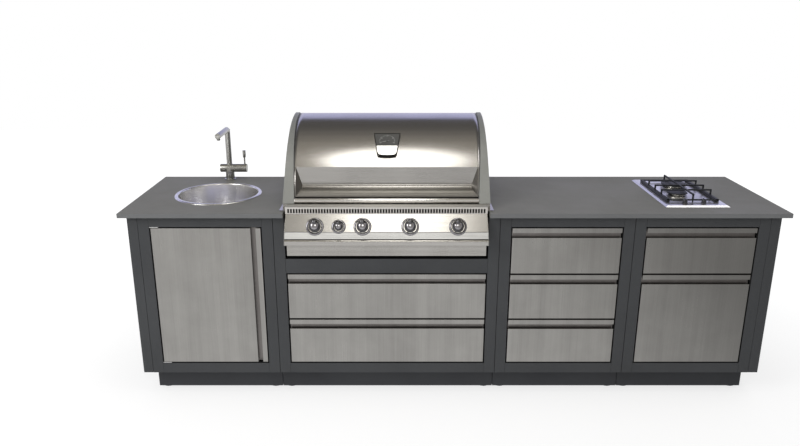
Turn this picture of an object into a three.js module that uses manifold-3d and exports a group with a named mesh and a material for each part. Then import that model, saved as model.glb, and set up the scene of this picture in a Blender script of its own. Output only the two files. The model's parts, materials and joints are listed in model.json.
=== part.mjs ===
// Outdoor kitchen island: a row of four cabinets under one worktop, with a round sink and its faucet,
// a built-in gas grill with a curved lid, and a two-burner gas hob.
// Millimetres, +Z up. Y runs from the worktop's front edge to its back edge, X from left to right.
import * as THREE from "three";
import { ConvexGeometry } from "three/addons/geometries/ConvexGeometry.js";
import { mergeVertices } from "three/addons/utils/BufferGeometryUtils.js";
import Module from "manifold-3d";

const wasm = await Module();
wasm.setup();

// Clearances and overruns
const seatGap = 0.3;
const jointLine = 2;
const overrun = 5;
const fullSides = 36;
const rodSides = 18;
const boltSides = 12;

// Cabinet row
const standardWidth = 600;
const grillCabinetWidth = 1010;
const endPanelThickness = 45;
const cabinetDepth = 640;
const cabinetHeight = 770;
const boardThickness = 12;
const stretcherDepth = 45;
const frameThickness = 20;
const frameWidth = 50;
const frameSeamWidth = 1.2;
const frameSeamDepth = 1;
const grillRailHeight = 69;
const grillRailClearance = 19;
const grillShelfDrop = 28;

// Plinth and levelling feet
const footLift = 8;
const kickHeight = 102;
const kickSetback = 58;
const rearKickSetback = 30;
const kickThickness = 16;
const footBlockSize = 60;
const footBlockSunk = 8;
const footBlockHeight = 26;
const footPadRadius = 30;
const footStemRadius = 8;

// Worktop
const worktopThickness = 20;
const worktopOverhang = 30;
const notchMargin = 94;

// Fronts and drawers
const revealGap = 6;
const frontGap = 8;
const frontRecess = 1;
const frontDepth = 20;
const frontSkin = 1.5;
const gripLipHeight = 22;
const gripLipThickness = 3;
const gripTopThickness = 4;
const gripDepth = 16;
const gripMouth = 23;
const gripEdgeThickness = 3;
const gripPocket = 13;
const gripWebThickness = 4;
const frontScrewRadius = 2.5;
const drawerSideClearance = 18;
const drawerWall = 3;
const drawerBackClearance = 86.7;
const drawerRise = 24;
const drawerDrop = 40;
const ledgeHeight = 8;
const ledgeOverlap = 12;
const ledgeSetback = 20;

// Door pivots
const pivotInset = 7;
const pivotRadius = 3;
const pivotLength = 14;
const pivotPlateLength = 34;
const pivotPlateDepth = 16;
const pivotPlateThickness = 3;

// Sink
const sinkShift = -4;
const sinkOffset = -10;
const sinkRimWidth = 18;
const sinkBowlRadius = 187;
const sinkFloorInset = 37;
const sinkDepth = 170;
const sinkRimHeight = 4;
const sinkWall = 2;
const sinkHoleClearance = 1;
const drainRadius = 30;
const wasteFlangeWidth = 11;
const wasteFlangeThickness = 2.5;
const wasteBodyHeight = 52;
const tailpieceRadius = 20;
const tailpieceLength = 60;
const trapRadius = 36;
const trapHeight = 90;
const outletRadius = 16;
const outletClearance = 60;
const strainerHoleRadius = 4;
const strainerCircleRadius = 16;
const strainerHoleCount = 6;
const strainerThickness = 3;

// Faucet
const faucetOffset = -20;
const faucetFlangeRadius = 29;
const faucetFlangeHeight = 4;
const faucetColumnRadius = 22.5;
const faucetBarRadius = 21;
const faucetBarRise = 59;
const faucetBarLeft = 47;
const faucetBarRight = 56;
const faucetCapLength = 34;
const faucetSpigotRadius = 8;
const faucetSpigotLength = 12;
const faucetShankRadius = 7;
const faucetShankLength = 60;
const faucetNutWall = 2;
const faucetNutHeight = 8;
const faucetNutClearance = 1;
const spoutRadius = 14;
const spoutHeight = 275;
const spoutReach = 205;
const spoutSocketRise = 5;
const aeratorRadius = 9;
const aeratorDrop = 8;
const aeratorInset = 15;
const leverStemRadius = 4;
const leverGripRadius = 8;
const leverHeight = 72;
const leverGripLength = 32;
const leverFoot = 12;
const leverSlotClearance = 1;
const leverSlotWall = 1;

// Hob
const hobWidth = 290;
const hobSetback = 105;
const hobBackMargin = 85;
const hobPlateHeight = 6;
const hobBevel = 9;
const hobCasingInset = 10;
const hobCasingDepth = 45;
const hobCasingWall = 2;
const hobCutoutClearance = 2;
const rearBurnerDepthShare = 0.6765;
const rearBurnerOffset = 12;
const frontBurnerDepthShare = 0.349;
const frontBurnerOffset = -34;
const burnerCrownRadiusShare = 0.82;
const rearBurnerRadius = 62;
const frontBurnerRadius = 47;
const burnerBaseHeight = 7;
const burnerCrownHeight = 8;
const burnerCapHeight = 6;
const burnerCapEdge = 3;
const supportSideInset = 25;
const supportFrontShare = 0.1314;
const supportBackShare = 0.8863;
const supportBar = 10;
const supportClearance = 7.4;
const supportBridgeShares = [0.234, 0.462, 0.696];
const supportBridgeInset = 1;
const hobKnobSpacing = 86;
const hobKnobDepthShare = 0.096;
const hobKnobRadius = 12;
const hobKnobHeight = 18;
const hobKnobShaftRadius = 3;
const hobKnobShaftLength = 20;
const hobKnobGripWidth = 5;
const hobKnobGripHeight = 4;

// Grill body
const grillSheet = 3;
const tubSideGap = 11;
const tubFront = 84;
const tubBackGap = 20;
const tubDrainWidth = 300;
const tubDrainDepth = 180;
const flangeSideOverlap = 21;
const flangeFrontReach = 25;
const flangeBackOverlap = 34;
const rimSideOverlap = 7;
const rimFrontReach = 14;
const rimBackReach = 18;
const lidSeatHeight = 24;
const rearWallInset = 42;
const rearWallRise = 35;
const earFrontReach = 18;
const earNotchReach = 25;
const earTopRise = 20;
const earFootRise = 50;
const grateLedgeDepth = 10;
const grateRise = 8;
const grateThickness = 10;
const gratePitch = 24;
const grateSlotWidth = 14;
const grateSlotInset = 22;

// Vent trim
const trimFront = 25;
const trimSideGap = 9;
const trimRise = 23;
const slotEndMargin = 6;
const slotPitch = 12.35;
const slotWidth = 6;
const slotDrop = 4;
const slotRise = 14.5;

// Control panel
const panelSideGap = 9.5;
const panelTopDrop = 7;
const panelTilt = THREE.MathUtils.degToRad(25);
const panelFaceHeight = 85;
const panelToeHeight = 23.5;
const bullnoseSideGap = 4;
const bullnoseReach = 20;
const bullnoseHeight = 26.5;
const bullnoseTopRadius = 8;
const bullnoseRadius = 5;
const bullnoseBack = 16;
const knobDrop = 51;
const knobPitch = 210;
const knobPlaceShares = [-1.5, -0.5, 0.5, 1.5];
const smallKnobPlaceShare = -1;
const largeBezelRadius = 36;
const smallBezelRadius = 29.5;
const bezelWidth = 8;
const bezelHeight = 6;
const bezelStep = 3;
const knobShaftRadius = 4;
const knobShaftClearance = 7;
const knobClearance = 1.5;
const knobSkirtHeight = 9;
const knobSkirtTaper = 3;
const knobBodyRadiusShare = 0.68;
const knobBodyHeight = 24;
const knobDomeHeight = 6;
const knobGripWidthShare = 0.5;
const knobGripHeight = 34;

// Drip tray
const apronSideGap = 10;
const apronSetback = 18;
const apronGap = 5;
const apronHeight = 54;
const apronReturn = 12;
const traySideGap = 27;
const trayWall = 2;
const trayRim = 8;
const trayRise = 3;
const trayHeight = 40;
const trayHeadroom = 23;
const trayBackGap = 66;
const hangerGap = 3;
const hangerLip = 8;
const hangerFrontReach = 24;
const hangerBackGap = 41;

// Burners
const manifoldClearance = 7;
const manifoldRadius = 13;
const manifoldEndGap = 44;
const valveRadius = 13;
const valveStart = 26;
const venturiRadius = 11;
const burnerRadius = 18;
const burnerFrontGap = 36;
const burnerBackGap = 46;

// Lid
const lidSideOverlap = 10;
const lidFrontInset = 10;
const creaseReach = 124;
const creaseRise = 165;
const lidRise = 352;
const lidBackReach = 36;
const lidBendReach = 170;
const lidBendSteps = 12;
const lidRearSteps = 8;
const lidCornerRadius = 18;
const capProud = 3;
const capBandBottom = 52;
const capBandTop = 21;
const capPlate = 6;
const capRim = 8;
const lidSkin = 2;
const lidRearEdgeRise = 40;
const pivotBackReach = 95;
const pivotRise = 190;
const lidPinRadius = 6;
const lidPinReach = 40;
const bossRadius = 16;
const bossLength = 33;
const recessFloorReach = 2;
const recessFloorRise = 72;
const recessLipReach = 26;
const recessLipRise = 49;
const recessMitre = 34;
const recessMargin = 3;
const skirtReach = 34;
const railReach = 13;
const railRise = 35.2;
const railRadius = 11;

// Thermometer
const gaugePlaceShare = 0.249;
const gaugeTopWidth = 124;
const gaugeBottomWidth = 90;
const gaugeLength = 144;
const gaugeSag = 7;
const gaugeStand = 8;
const gaugeSunk = 16;
const gaugeRimWidth = 5;
const gaugeRimHeight = 2;
const dialRadius = 45;
const dialOffset = 21;
const dialHeight = 1.5;

// Finishes
const anthracite = { color: 0x3f4144, roughness: 0.75, metalness: 0.1 };
const anthraciteKick = { color: 0x34373b, roughness: 0.7, metalness: 0.1 };
const stoneGrey = { color: 0x6b6c69, roughness: 0.8, metalness: 0 };
const brushedSteel = { color: 0x9a9894, roughness: 0.35, metalness: 1 };
const polishedSteel = { color: 0xc9c8c4, roughness: 0.15, metalness: 1 };
const castGrey = { color: 0x8b8d88, roughness: 0.55, metalness: 0.6 };
const chromeDark = { color: 0x8f9094, roughness: 0.08, metalness: 1 };
const blackIron = { color: 0x17181b, roughness: 0.6, metalness: 0.2 };
const drawerGrey = { color: 0xa9aaab, roughness: 0.45, metalness: 0.8 };
const blackKnob = { color: 0x1c1d22, roughness: 0.4, metalness: 0.1 };
const plasticWhite = { color: 0xd8d8d4, roughness: 0.5, metalness: 0 };

// Levels and planes of the cabinet row
const cabinetBase = footLift + kickHeight;
const cabinetTop = cabinetBase + cabinetHeight;
const worktopTop = cabinetTop + worktopThickness;
const faceY = worktopOverhang;
const cabinetBack = faceY + cabinetDepth;
const worktopDepth = cabinetDepth + worktopOverhang + worktopOverhang;
const carcassFront = faceY + frameThickness + seatGap;
const footInset = kickThickness - footBlockSunk + footBlockSize / 2;
const rowHalf = (standardWidth + standardWidth + standardWidth + grillCabinetWidth) / 2;
const worktopHalf = rowHalf + endPanelThickness + worktopOverhang;
const openingBottom = cabinetBase + frameWidth;
const openingTop = cabinetTop - frameWidth;
const frontY = faceY + frontRecess;
const boxY = frontY + frontDepth + seatGap;
const drawerDepth = cabinetBack - boardThickness - drawerBackClearance - boxY;
const sinkCentre = -rowHalf + standardWidth / 2;
const grillCentre = -rowHalf + standardWidth + grillCabinetWidth / 2;
const drawersCentre = rowHalf - standardWidth - standardWidth / 2;
const hobCentre = rowHalf - standardWidth / 2;
const grillOpening = grillCabinetWidth - frameWidth - frameWidth;
const grillOpeningHalf = grillOpening / 2;
const notchDepth = worktopDepth - notchMargin;

// Places of the sink, the faucet and the hob
const sinkSetback = worktopDepth / 2 + sinkShift;
const sinkRimRadius = sinkBowlRadius + sinkRimWidth;
const sinkFloorRadius = sinkBowlRadius - sinkFloorInset;
const sinkHoleRadius = sinkBowlRadius + sinkWall + sinkHoleClearance;
const wasteFlangeRadius = drainRadius + wasteFlangeWidth;
const faucetNutRadius = faucetShankRadius + faucetNutWall;
const faucetSetback = cabinetBack - boardThickness - faucetNutClearance - faucetNutRadius;
const leverSlotBack = leverStemRadius + leverSlotClearance;
const hobDepth = worktopDepth - hobSetback - hobBackMargin;
const plateTop = seatGap + hobPlateHeight;
const burnerTop = plateTop + seatGap + burnerBaseHeight + burnerCrownHeight + burnerCapHeight;
const supportTop = burnerTop + supportClearance + supportBar;

// Heights of the grill, from the worktop down to the rail under the drip tray
const panelTop = worktopTop - panelTopDrop;
const knobHeight = panelTop - knobDrop;
const panelToe = panelTop - panelFaceHeight;
const bullnoseTop = panelToe - panelToeHeight;
const bullnoseBottom = bullnoseTop - bullnoseHeight;
const apronTop = bullnoseBottom - apronGap;
const apronBottom = apronTop - apronHeight;
const trayBottom = apronBottom + trayRise;
const trayTop = trayBottom + trayHeight;
const tubBase = trayTop + trayHeadroom;
const grillRailTop = apronBottom - grillRailClearance;
const grillRailBottom = grillRailTop - grillRailHeight;

// Heights of the grill above the worktop
const grateTop = worktopTop + grateRise;
const trimBottom = panelTop + seatGap;
const trimTop = worktopTop + trimRise;
const slotBottom = worktopTop - slotDrop;
const slotTop = worktopTop + slotRise;
const lidSeat = worktopTop + lidSeatHeight;
const railHeight = worktopTop + railRise;
const recessLipHeight = worktopTop + recessLipRise;
const recessFloorHeight = worktopTop + recessFloorRise;
const creaseHeight = worktopTop + creaseRise;
const lidTop = worktopTop + lidRise;
const pivotHeight = worktopTop + pivotRise;
const rearWallTop = pivotHeight + rearWallRise;
const lidRearEdge = pivotHeight + lidRearEdgeRise;
const earFoot = worktopTop + earFootRise;

// Half widths of the grill
const tubHalfWidth = grillOpeningHalf - tubSideGap;
const flangeHalfWidth = grillOpeningHalf + flangeSideOverlap;
const rimHalfWidth = grillOpeningHalf + rimSideOverlap;
const rearWallHalfWidth = tubHalfWidth - rearWallInset;
const trimHalfWidth = grillOpeningHalf - trimSideGap;
const slotCount = Math.floor((trimHalfWidth + trimHalfWidth - slotEndMargin - slotEndMargin) / slotPitch);
const panelHalfWidth = grillOpeningHalf - panelSideGap;
const bullnoseHalfWidth = grillOpeningHalf - bullnoseSideGap;
const apronHalfWidth = grillOpeningHalf - apronSideGap;
const trayHalfWidth = grillOpeningHalf - traySideGap;
const manifoldHalfLength = tubHalfWidth - manifoldEndGap;
const lidHalfWidth = grillOpeningHalf + lidSideOverlap;
const bossEnd = lidHalfWidth - bossLength;

// Places of the grill from front to back
const tubBack = notchDepth - tubBackGap;
const rimFront = tubFront - rimFrontReach;
const rimBack = tubBack + rimBackReach;
const flangeFront = rimFront - flangeFrontReach;
const flangeBack = notchDepth + flangeBackOverlap;
const hangerFront = tubFront - hangerFrontReach;
const hangerBack = tubBack - hangerBackGap;
const trayBack = tubBack - trayBackGap;
const burnerFront = tubFront + burnerFrontGap;
const burnerBack = tubBack - burnerBackGap;
const panelTopSetback = trimFront + grillSheet;
const lidFront = rimFront + lidFrontInset;
const lidBack = rimBack + lidBackReach;
const creaseSetback = lidFront + creaseReach;
const lidBend = creaseSetback + lidBendReach;
const pivotSetback = lidBack - pivotBackReach;
const earFront = pivotSetback - earFrontReach;
const earBack = pivotSetback + earNotchReach;
const recessFloorSetback = creaseSetback + recessFloorReach;
const recessLipSetback = lidFront + recessLipReach;
const skirtSetback = lidFront + skirtReach;
const railSetback = lidFront + railReach;

// The knobs' places across the panel, where their axes meet it, and the gas manifold behind them
const knobOffsets = knobPlaceShares.map((share) => knobPitch * share);
const smallKnobOffset = knobPitch * smallKnobPlaceShare;
const knobY = panelTopSetback - knobDrop * Math.tan(panelTilt);
const outward = new THREE.Vector3(0, -Math.cos(panelTilt), Math.sin(panelTilt));
const manifoldRoom = tubFront - manifoldClearance - manifoldRadius - knobY;
const manifoldDepth = manifoldRoom / -outward.y;
const manifoldY = knobY - outward.y * manifoldDepth;
const manifoldZ = knobHeight - outward.z * manifoldDepth;
const knobShaftLength = manifoldDepth - manifoldRadius - knobShaftClearance;

// A closed geometry as a solid that can be joined and cut
function solidOf(geometry) {
  const bare = geometry.clone();
  bare.deleteAttribute("normal");
  bare.deleteAttribute("uv");
  const merged = mergeVertices(bare);
  const index = merged.index.array;
  const kept = [];
  for (let i = 0; i < index.length; i += 3) {
    const [a, b, c] = [index[i], index[i + 1], index[i + 2]];
    if (a !== b && b !== c && a !== c) kept.push(a, b, c);
  }
  return new wasm.Manifold(
    new wasm.Mesh({
      numProp: 3,
      vertProperties: merged.attributes.position.array,
      triVerts: new Uint32Array(kept),
    }),
  );
}

// Pieces joined into one solid
function joined(...pieces) {
  return pieces.flat().reduce((sum, piece) => sum.add(piece));
}

// A solid with other pieces taken out of it
function cut(solid, ...tools) {
  return tools.flat().reduce((rest, tool) => rest.subtract(tool), solid);
}

// A box between two corners, each axis given as [low, high]
function block([x0, x1], [y0, y1], [z0, z1]) {
  const box = new THREE.BoxGeometry(x1 - x0, y1 - y0, z1 - z0);
  box.translate((x0 + x1) / 2, (y0 + y1) / 2, (z0 + z1) / 2);
  return solidOf(box);
}

// A round bar between two points
function rod(from, to, radius, sides = rodSides) {
  const start = new THREE.Vector3(...from);
  const end = new THREE.Vector3(...to);
  const along = end.clone().sub(start);
  const bar = new THREE.CylinderGeometry(radius, radius, along.length(), sides);
  const turn = new THREE.Quaternion();
  turn.setFromUnitVectors(new THREE.Vector3(0, 1, 0), along.clone().normalize());
  bar.applyQuaternion(turn);
  const middle = start.add(end).multiplyScalar(1 / 2);
  bar.translate(middle.x, middle.y, middle.z);
  return solidOf(bar);
}

// A round bar along Z between two heights
function uprightRod([x, y], [z0, z1], radius, sides = rodSides) {
  return rod([x, y, z0], [x, y, z1], radius, sides);
}

// A round bar along X between two ends
function levelRod([x0, x1], [y, z], radius, sides = rodSides) {
  return rod([x0, y, z], [x1, y, z], radius, sides);
}

// A ball at a point
function ball([x, y, z], radius, sides = rodSides) {
  const sphere = new THREE.SphereGeometry(radius, sides, sides / 2);
  sphere.translate(x, y, z);
  return solidOf(sphere);
}

// An outline of [radius, height] points turned about the upright axis through (x, y)
function turned(outline, [x, y], sides = fullSides) {
  const points = outline.map(([r, z]) => new THREE.Vector2(r, z));
  const ordered = THREE.ShapeUtils.isClockWise(points) ? points.reverse() : points;
  if (outline[0][0] > 0) ordered.push(ordered[0].clone());
  const lathe = new THREE.LatheGeometry(ordered, sides);
  lathe.rotateX(Math.PI / 2);
  lathe.translate(x, y, 0);
  return solidOf(lathe);
}

// A shape extruded straight along its own Z axis, with no bevel
function extruded(shape, depth) {
  return new THREE.ExtrudeGeometry(shape, { depth, bevelEnabled: false, steps: 1 });
}

function shapeOf(points) {
  return new THREE.Shape(points.map(([a, b]) => new THREE.Vector2(a, b)));
}

// A side outline of [y, z] points extruded along X
function sidePrism(points, [x0, x1]) {
  const prism = extruded(shapeOf(points), x1 - x0);
  const yAxis = new THREE.Vector3(0, 1, 0);
  const zAxis = new THREE.Vector3(0, 0, 1);
  const xAxis = new THREE.Vector3(1, 0, 0);
  prism.applyMatrix4(new THREE.Matrix4().makeBasis(yAxis, zAxis, xAxis));
  prism.translate(x0, 0, 0);
  return solidOf(prism);
}

// Evenly spaced places on both sides of zero
function rowOf(count, pitch) {
  return Array.from({ length: count }, (_, i) => (i - (count - 1) / 2) * pitch);
}

// The convex solid round some points
function hull(points) {
  return solidOf(new ConvexGeometry(points.map((p) => new THREE.Vector3(...p))));
}

// An outline moved inwards by a distance, each corner kept square to its two sides
function insetOutline(points, distance) {
  const turn = THREE.ShapeUtils.isClockWise(points.map(([a, b]) => new THREE.Vector2(a, b)));
  const side = turn ? -1 : 1;
  return points.map((point, i) => {
    const before = points[(i + points.length - 1) % points.length];
    const after = points[(i + 1) % points.length];
    const d1 = new THREE.Vector2(point[0] - before[0], point[1] - before[1]).normalize();
    const d2 = new THREE.Vector2(after[0] - point[0], after[1] - point[1]).normalize();
    const n1 = new THREE.Vector2(-d1.y * side, d1.x * side);
    const n2 = new THREE.Vector2(-d2.y * side, d2.x * side);
    const middle = n1.clone().add(n2).normalize();
    const reach = distance / middle.dot(n1);
    return [point[0] + middle.x * reach, point[1] + middle.y * reach];
  });
}

const island = new THREE.Group();

// Adds a solid as a named mesh to a group. The solid is drawn in its group's own frame.
function addPart(group, name, solid, finish) {
  const { vertProperties, triVerts } = solid.getMesh();
  const geometry = new THREE.BufferGeometry();
  geometry.setAttribute("position", new THREE.BufferAttribute(vertProperties, 3));
  geometry.setIndex(new THREE.BufferAttribute(triVerts, 1));
  geometry.computeVertexNormals();
  const mesh = new THREE.Mesh(geometry, new THREE.MeshStandardMaterial(finish));
  mesh.name = name;
  group.add(mesh);
  return mesh;
}

function groupAt(parent, x, y, z) {
  const group = new THREE.Group();
  group.position.set(x, y, z);
  parent.add(group);
  return group;
}

// Carcass of boards, open to the front and, behind its front stretcher, to the top
function carcass(width, hasStretcher) {
  const half = (width - seatGap) / 2;
  const x = [-half, half];
  const y = [carcassFront, cabinetBack];
  const z = [cabinetBase, cabinetTop];
  const boards = [
    block([-half, -half + boardThickness], y, z),
    block([half - boardThickness, half], y, z),
    block(x, y, [cabinetBase, cabinetBase + boardThickness]),
    block(x, [cabinetBack - boardThickness, cabinetBack], z),
  ];
  if (hasStretcher) {
    const stretcherY = [carcassFront, carcassFront + stretcherDepth];
    boards.push(block(x, stretcherY, [cabinetTop - boardThickness, cabinetTop]));
  }
  return joined(boards);
}

// The ledges that carry a drawer box on both sides of a carcass
function drawerLedges(width, slot) {
  const inner = (width - seatGap) / 2 - boardThickness;
  const boxHalf = drawerBoxHalf(width);
  const top = slot.bottom + drawerRise - seatGap;
  return [-1, 1].map((side) => {
    const ends = [side * (inner + overrun), side * (boxHalf - ledgeOverlap)].sort((a, b) => a - b);
    return block(ends, [boxY + ledgeSetback, boxY + drawerDepth], [top - ledgeHeight, top]);
  });
}

function drawerBoxHalf(width) {
  return width / 2 - frameWidth - drawerSideClearance;
}

// The frame of stiles and rails round one or more openings, each [bottom, top], with a fine groove
// where each rail meets its stiles
function faceFrame(width, openings) {
  const half = (width - jointLine) / 2;
  const openHalf = width / 2 - frameWidth;
  const y = [faceY, faceY + frameThickness];
  let frame = block([-half, half], y, [cabinetBase, cabinetTop]);
  for (const [bottom, top] of openings) {
    frame = frame.subtract(block([-openHalf, openHalf], [y[0] - overrun, y[1] + overrun], [bottom, top]));
  }
  const levels = [cabinetBase, ...openings.flat(), cabinetTop];
  const grooveY = [y[0] - overrun, y[0] + frameSeamDepth];
  for (let i = 0; i < levels.length; i += 2) {
    const grooveZ = [levels[i] - overrun, levels[i + 1] + overrun];
    if (levels[i] >= levels[i + 1]) continue;
    for (const side of [-1, 1]) {
      const seam = side * (openHalf + frameSeamWidth / 2);
      const x = [seam - frameSeamWidth / 2, seam + frameSeamWidth / 2];
      frame = frame.subtract(block(x, grooveY, grooveZ));
    }
  }
  return frame;
}

// The plinth: kick board, side and rear boards, and four levelling feet on corner blocks
function plinth(width) {
  const half = (width - jointLine) / 2;
  const front = faceY + kickSetback;
  const back = cabinetBack - rearKickSetback;
  const top = cabinetBase - seatGap;
  const outside = block([-half, half], [front, back], [footLift, top]);
  const inner = half - kickThickness;
  const inside = block(
    [-inner, inner],
    [front + kickThickness, back - kickThickness],
    [footLift - overrun, top + overrun],
  );
  const pieces = [outside.subtract(inside)];
  for (const x of [-half + footInset, half - footInset]) {
    for (const y of [front + footInset, back - footInset]) {
      const reach = footBlockSize / 2;
      pieces.push(block([x - reach, x + reach], [y - reach, y + reach], [top - footBlockHeight, top]));
      pieces.push(rod([x, y, 0], [x, y, footLift], footPadRadius, boltSides));
      pieces.push(rod([x, y, footLift / 2], [x, y, top - footBlockHeight / 2], footStemRadius, boltSides));
    }
  }
  return joined(pieces);
}

// A hollow steel front with a grip channel behind its top edge: a lip above the mouth, and a pocket below
// it for the fingertips. Its face is at y = 0, its bottom at z = 0.
function gripFront(width, height) {
  const half = width / 2;
  const edge = height - gripLipHeight - gripMouth;
  const floor = edge - gripPocket;
  const outline = [
    [0, 0],
    [frontDepth, 0],
    [frontDepth, height],
    [0, height],
    [0, height - gripLipHeight],
    [gripLipThickness, height - gripLipHeight],
    [gripLipThickness, height - gripTopThickness],
    [gripDepth, height - gripTopThickness],
    [gripDepth, floor],
    [gripEdgeThickness, floor],
    [gripEdgeThickness, edge],
    [0, edge],
  ];
  const cavityTop = floor - gripWebThickness;
  const cavity = block(
    [-half + frontSkin, half - frontSkin],
    [frontSkin, frontDepth - frontSkin],
    [frontSkin, cavityTop],
  );
  return sidePrism(outline, [-half, half]).subtract(cavity);
}

function drawerFront(width, height) {
  let front = gripFront(width, height);
  const screwShares = [-1 / 3, 1 / 3];
  for (const share of screwShares) {
    const x = width * share;
    const z = drawerRise + drawerRise;
    const hole = rod([x, frontDepth / 2, z], [x, frontDepth + overrun, z], frontScrewRadius, boltSides);
    front = front.subtract(hole);
  }
  return front;
}

// An open box behind a front. Its front wall is at y = 0, its bottom at z = 0.
function drawerBox(half, height) {
  const outside = block([-half, half], [0, drawerDepth], [0, height]);
  const inner = half - drawerWall;
  return outside.subtract(
    block([-inner, inner], [drawerWall, drawerDepth - drawerWall], [drawerWall, height + overrun]),
  );
}

// Splits an opening into front slots of given shares, from the top down
function frontSlots([openBottom, openTop], shares) {
  const total = openTop - openBottom - revealGap - revealGap - frontGap * (shares.length - 1);
  const sum = shares.reduce((a, b) => a + b);
  let top = openTop - revealGap;
  return shares.map((share) => {
    const slot = { top, bottom: top - (total * share) / sum };
    top = slot.bottom - frontGap;
    return slot;
  });
}

// Adds the front and box of each drawer
function addDrawers(cabinet, width, slots, names) {
  const frontWidth = width - frameWidth - frameWidth - revealGap - revealGap;
  slots.forEach((slot, i) => {
    const height = slot.top - slot.bottom;
    const front = groupAt(cabinet, 0, frontY, slot.bottom);
    addPart(front, names[i] + "_front", drawerFront(frontWidth, height), brushedSteel);
    const box = groupAt(cabinet, 0, boxY, slot.bottom + drawerRise);
    const boxHeight = height - drawerRise - drawerDrop;
    addPart(box, names[i] + "_box", drawerBox(drawerBoxHalf(width), boxHeight), drawerGrey);
  });
}

// Sink cabinet with its door on two pivots
const sinkCabinet = groupAt(island, sinkCentre, 0, 0);
addPart(sinkCabinet, "sink_cabinet_carcass", carcass(standardWidth, true), anthracite);
const wholeOpening = [[openingBottom, openingTop]];
addPart(sinkCabinet, "sink_cabinet_frame", faceFrame(standardWidth, wholeOpening), anthracite);
addPart(sinkCabinet, "sink_cabinet_plinth", plinth(standardWidth), anthraciteKick);

const doorWidth = standardWidth - frameWidth - frameWidth - revealGap - revealGap;
const doorHeight = openingTop - openingBottom - revealGap - revealGap;
const doorMiddle = (openingTop + openingBottom) / 2;
const pivotX = -doorWidth / 2 + pivotInset;
const pivotY = frontY + pivotInset;

// The door is a grip front turned so that its channel runs down the right edge
function cupboardDoor() {
  const upright = gripFront(doorHeight, doorWidth).rotate([0, 90, 0]);
  const door = upright.translate([-doorWidth / 2, 0, 0]);
  const bore = rod(
    [pivotX, pivotInset, -doorHeight / 2 - overrun],
    [pivotX, pivotInset, doorHeight / 2 + overrun],
    pivotRadius + seatGap,
  );
  return door.subtract(bore);
}
const doorGroup = groupAt(sinkCabinet, pivotX, pivotY, doorMiddle);
addPart(doorGroup, "cupboard_door", cupboardDoor().translate([-pivotX, -pivotInset, 0]), brushedSteel);

// A pivot plate screwed to a rail, with a pin that enters the door's bore. up is 1 or -1.
function doorPivot(up) {
  const plateZ = [seatGap * up, (seatGap + pivotPlateThickness) * up].sort((a, b) => a - b);
  const plate = block(
    [-pivotInset - revealGap + seatGap, pivotPlateLength - pivotInset],
    [-pivotInset + frontRecess, pivotPlateDepth - pivotInset],
    plateZ,
  );
  const pinEnd = (revealGap + pivotLength) * up;
  return plate.add(rod([0, 0, (plateZ[0] + plateZ[1]) / 2], [0, 0, pinEnd], pivotRadius));
}
const lowerPivot = groupAt(sinkCabinet, pivotX, pivotY, openingBottom);
addPart(lowerPivot, "door_pivot_lower", doorPivot(1), polishedSteel);
const upperPivot = groupAt(sinkCabinet, pivotX, pivotY, openingTop);
addPart(upperPivot, "door_pivot_upper", doorPivot(-1), polishedSteel);

// Grill cabinet: two wide drawers under a rail and a shelf, open above them for the grill
const grillCabinet = groupAt(island, grillCentre, 0, 0);
const grillSlotShares = [1, 1];
const grillSlots = frontSlots([openingBottom, grillRailBottom], grillSlotShares);
const shelfTop = grillRailTop - grillShelfDrop;
const shelfHalf = grillOpeningHalf + frameWidth - boardThickness / 2;
const grillShelf = block(
  [-shelfHalf, shelfHalf],
  [carcassFront, cabinetBack - boardThickness / 2],
  [shelfTop - boardThickness, shelfTop],
);
const grillLedges = grillSlots.flatMap((slot) => drawerLedges(grillCabinetWidth, slot));
const grillCarcass = joined(carcass(grillCabinetWidth, false), grillShelf, grillLedges);
addPart(grillCabinet, "grill_cabinet_carcass", grillCarcass, anthracite);
const grillOpenings = [
  [openingBottom, grillRailBottom],
  [grillRailTop, cabinetTop + overrun],
];
addPart(grillCabinet, "grill_cabinet_frame", faceFrame(grillCabinetWidth, grillOpenings), anthracite);
addPart(grillCabinet, "grill_cabinet_plinth", plinth(grillCabinetWidth), anthraciteKick);
addDrawers(grillCabinet, grillCabinetWidth, grillSlots, ["grill_drawer_upper", "grill_drawer_lower"]);

// Drawer cabinet and hob cabinet
function addDrawerCabinet(centre, name, shares, names) {
  const cabinet = groupAt(island, centre, 0, 0);
  const slots = frontSlots([openingBottom, openingTop], shares);
  const ledges = slots.flatMap((slot) => drawerLedges(standardWidth, slot));
  addPart(cabinet, name + "_carcass", joined(carcass(standardWidth, true), ledges), anthracite);
  addPart(cabinet, name + "_frame", faceFrame(standardWidth, wholeOpening), anthracite);
  addPart(cabinet, name + "_plinth", plinth(standardWidth), anthraciteKick);
  addDrawers(cabinet, standardWidth, slots, names);
}
const sideNames = ["side_drawer_upper", "side_drawer_middle", "side_drawer_lower"];
const sideShares = [1, 1, 1];
addDrawerCabinet(drawersCentre, "drawer_cabinet", sideShares, sideNames);
const hobShares = [214, 436];
addDrawerCabinet(hobCentre, "hob_cabinet", hobShares, ["hob_drawer", "hob_pull_out"]);

// End panels
for (const [side, name] of [[-1, "end_panel_left"], [1, "end_panel_right"]]) {
  const panelX = groupAt(island, side * (rowHalf + endPanelThickness / 2), 0, 0);
  const half = endPanelThickness / 2;
  const x = side < 0 ? [-half, half - seatGap / 2] : [-half + seatGap / 2, half];
  addPart(panelX, name, block(x, [faceY, cabinetBack], [cabinetBase, cabinetTop]), anthracite);
}

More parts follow.
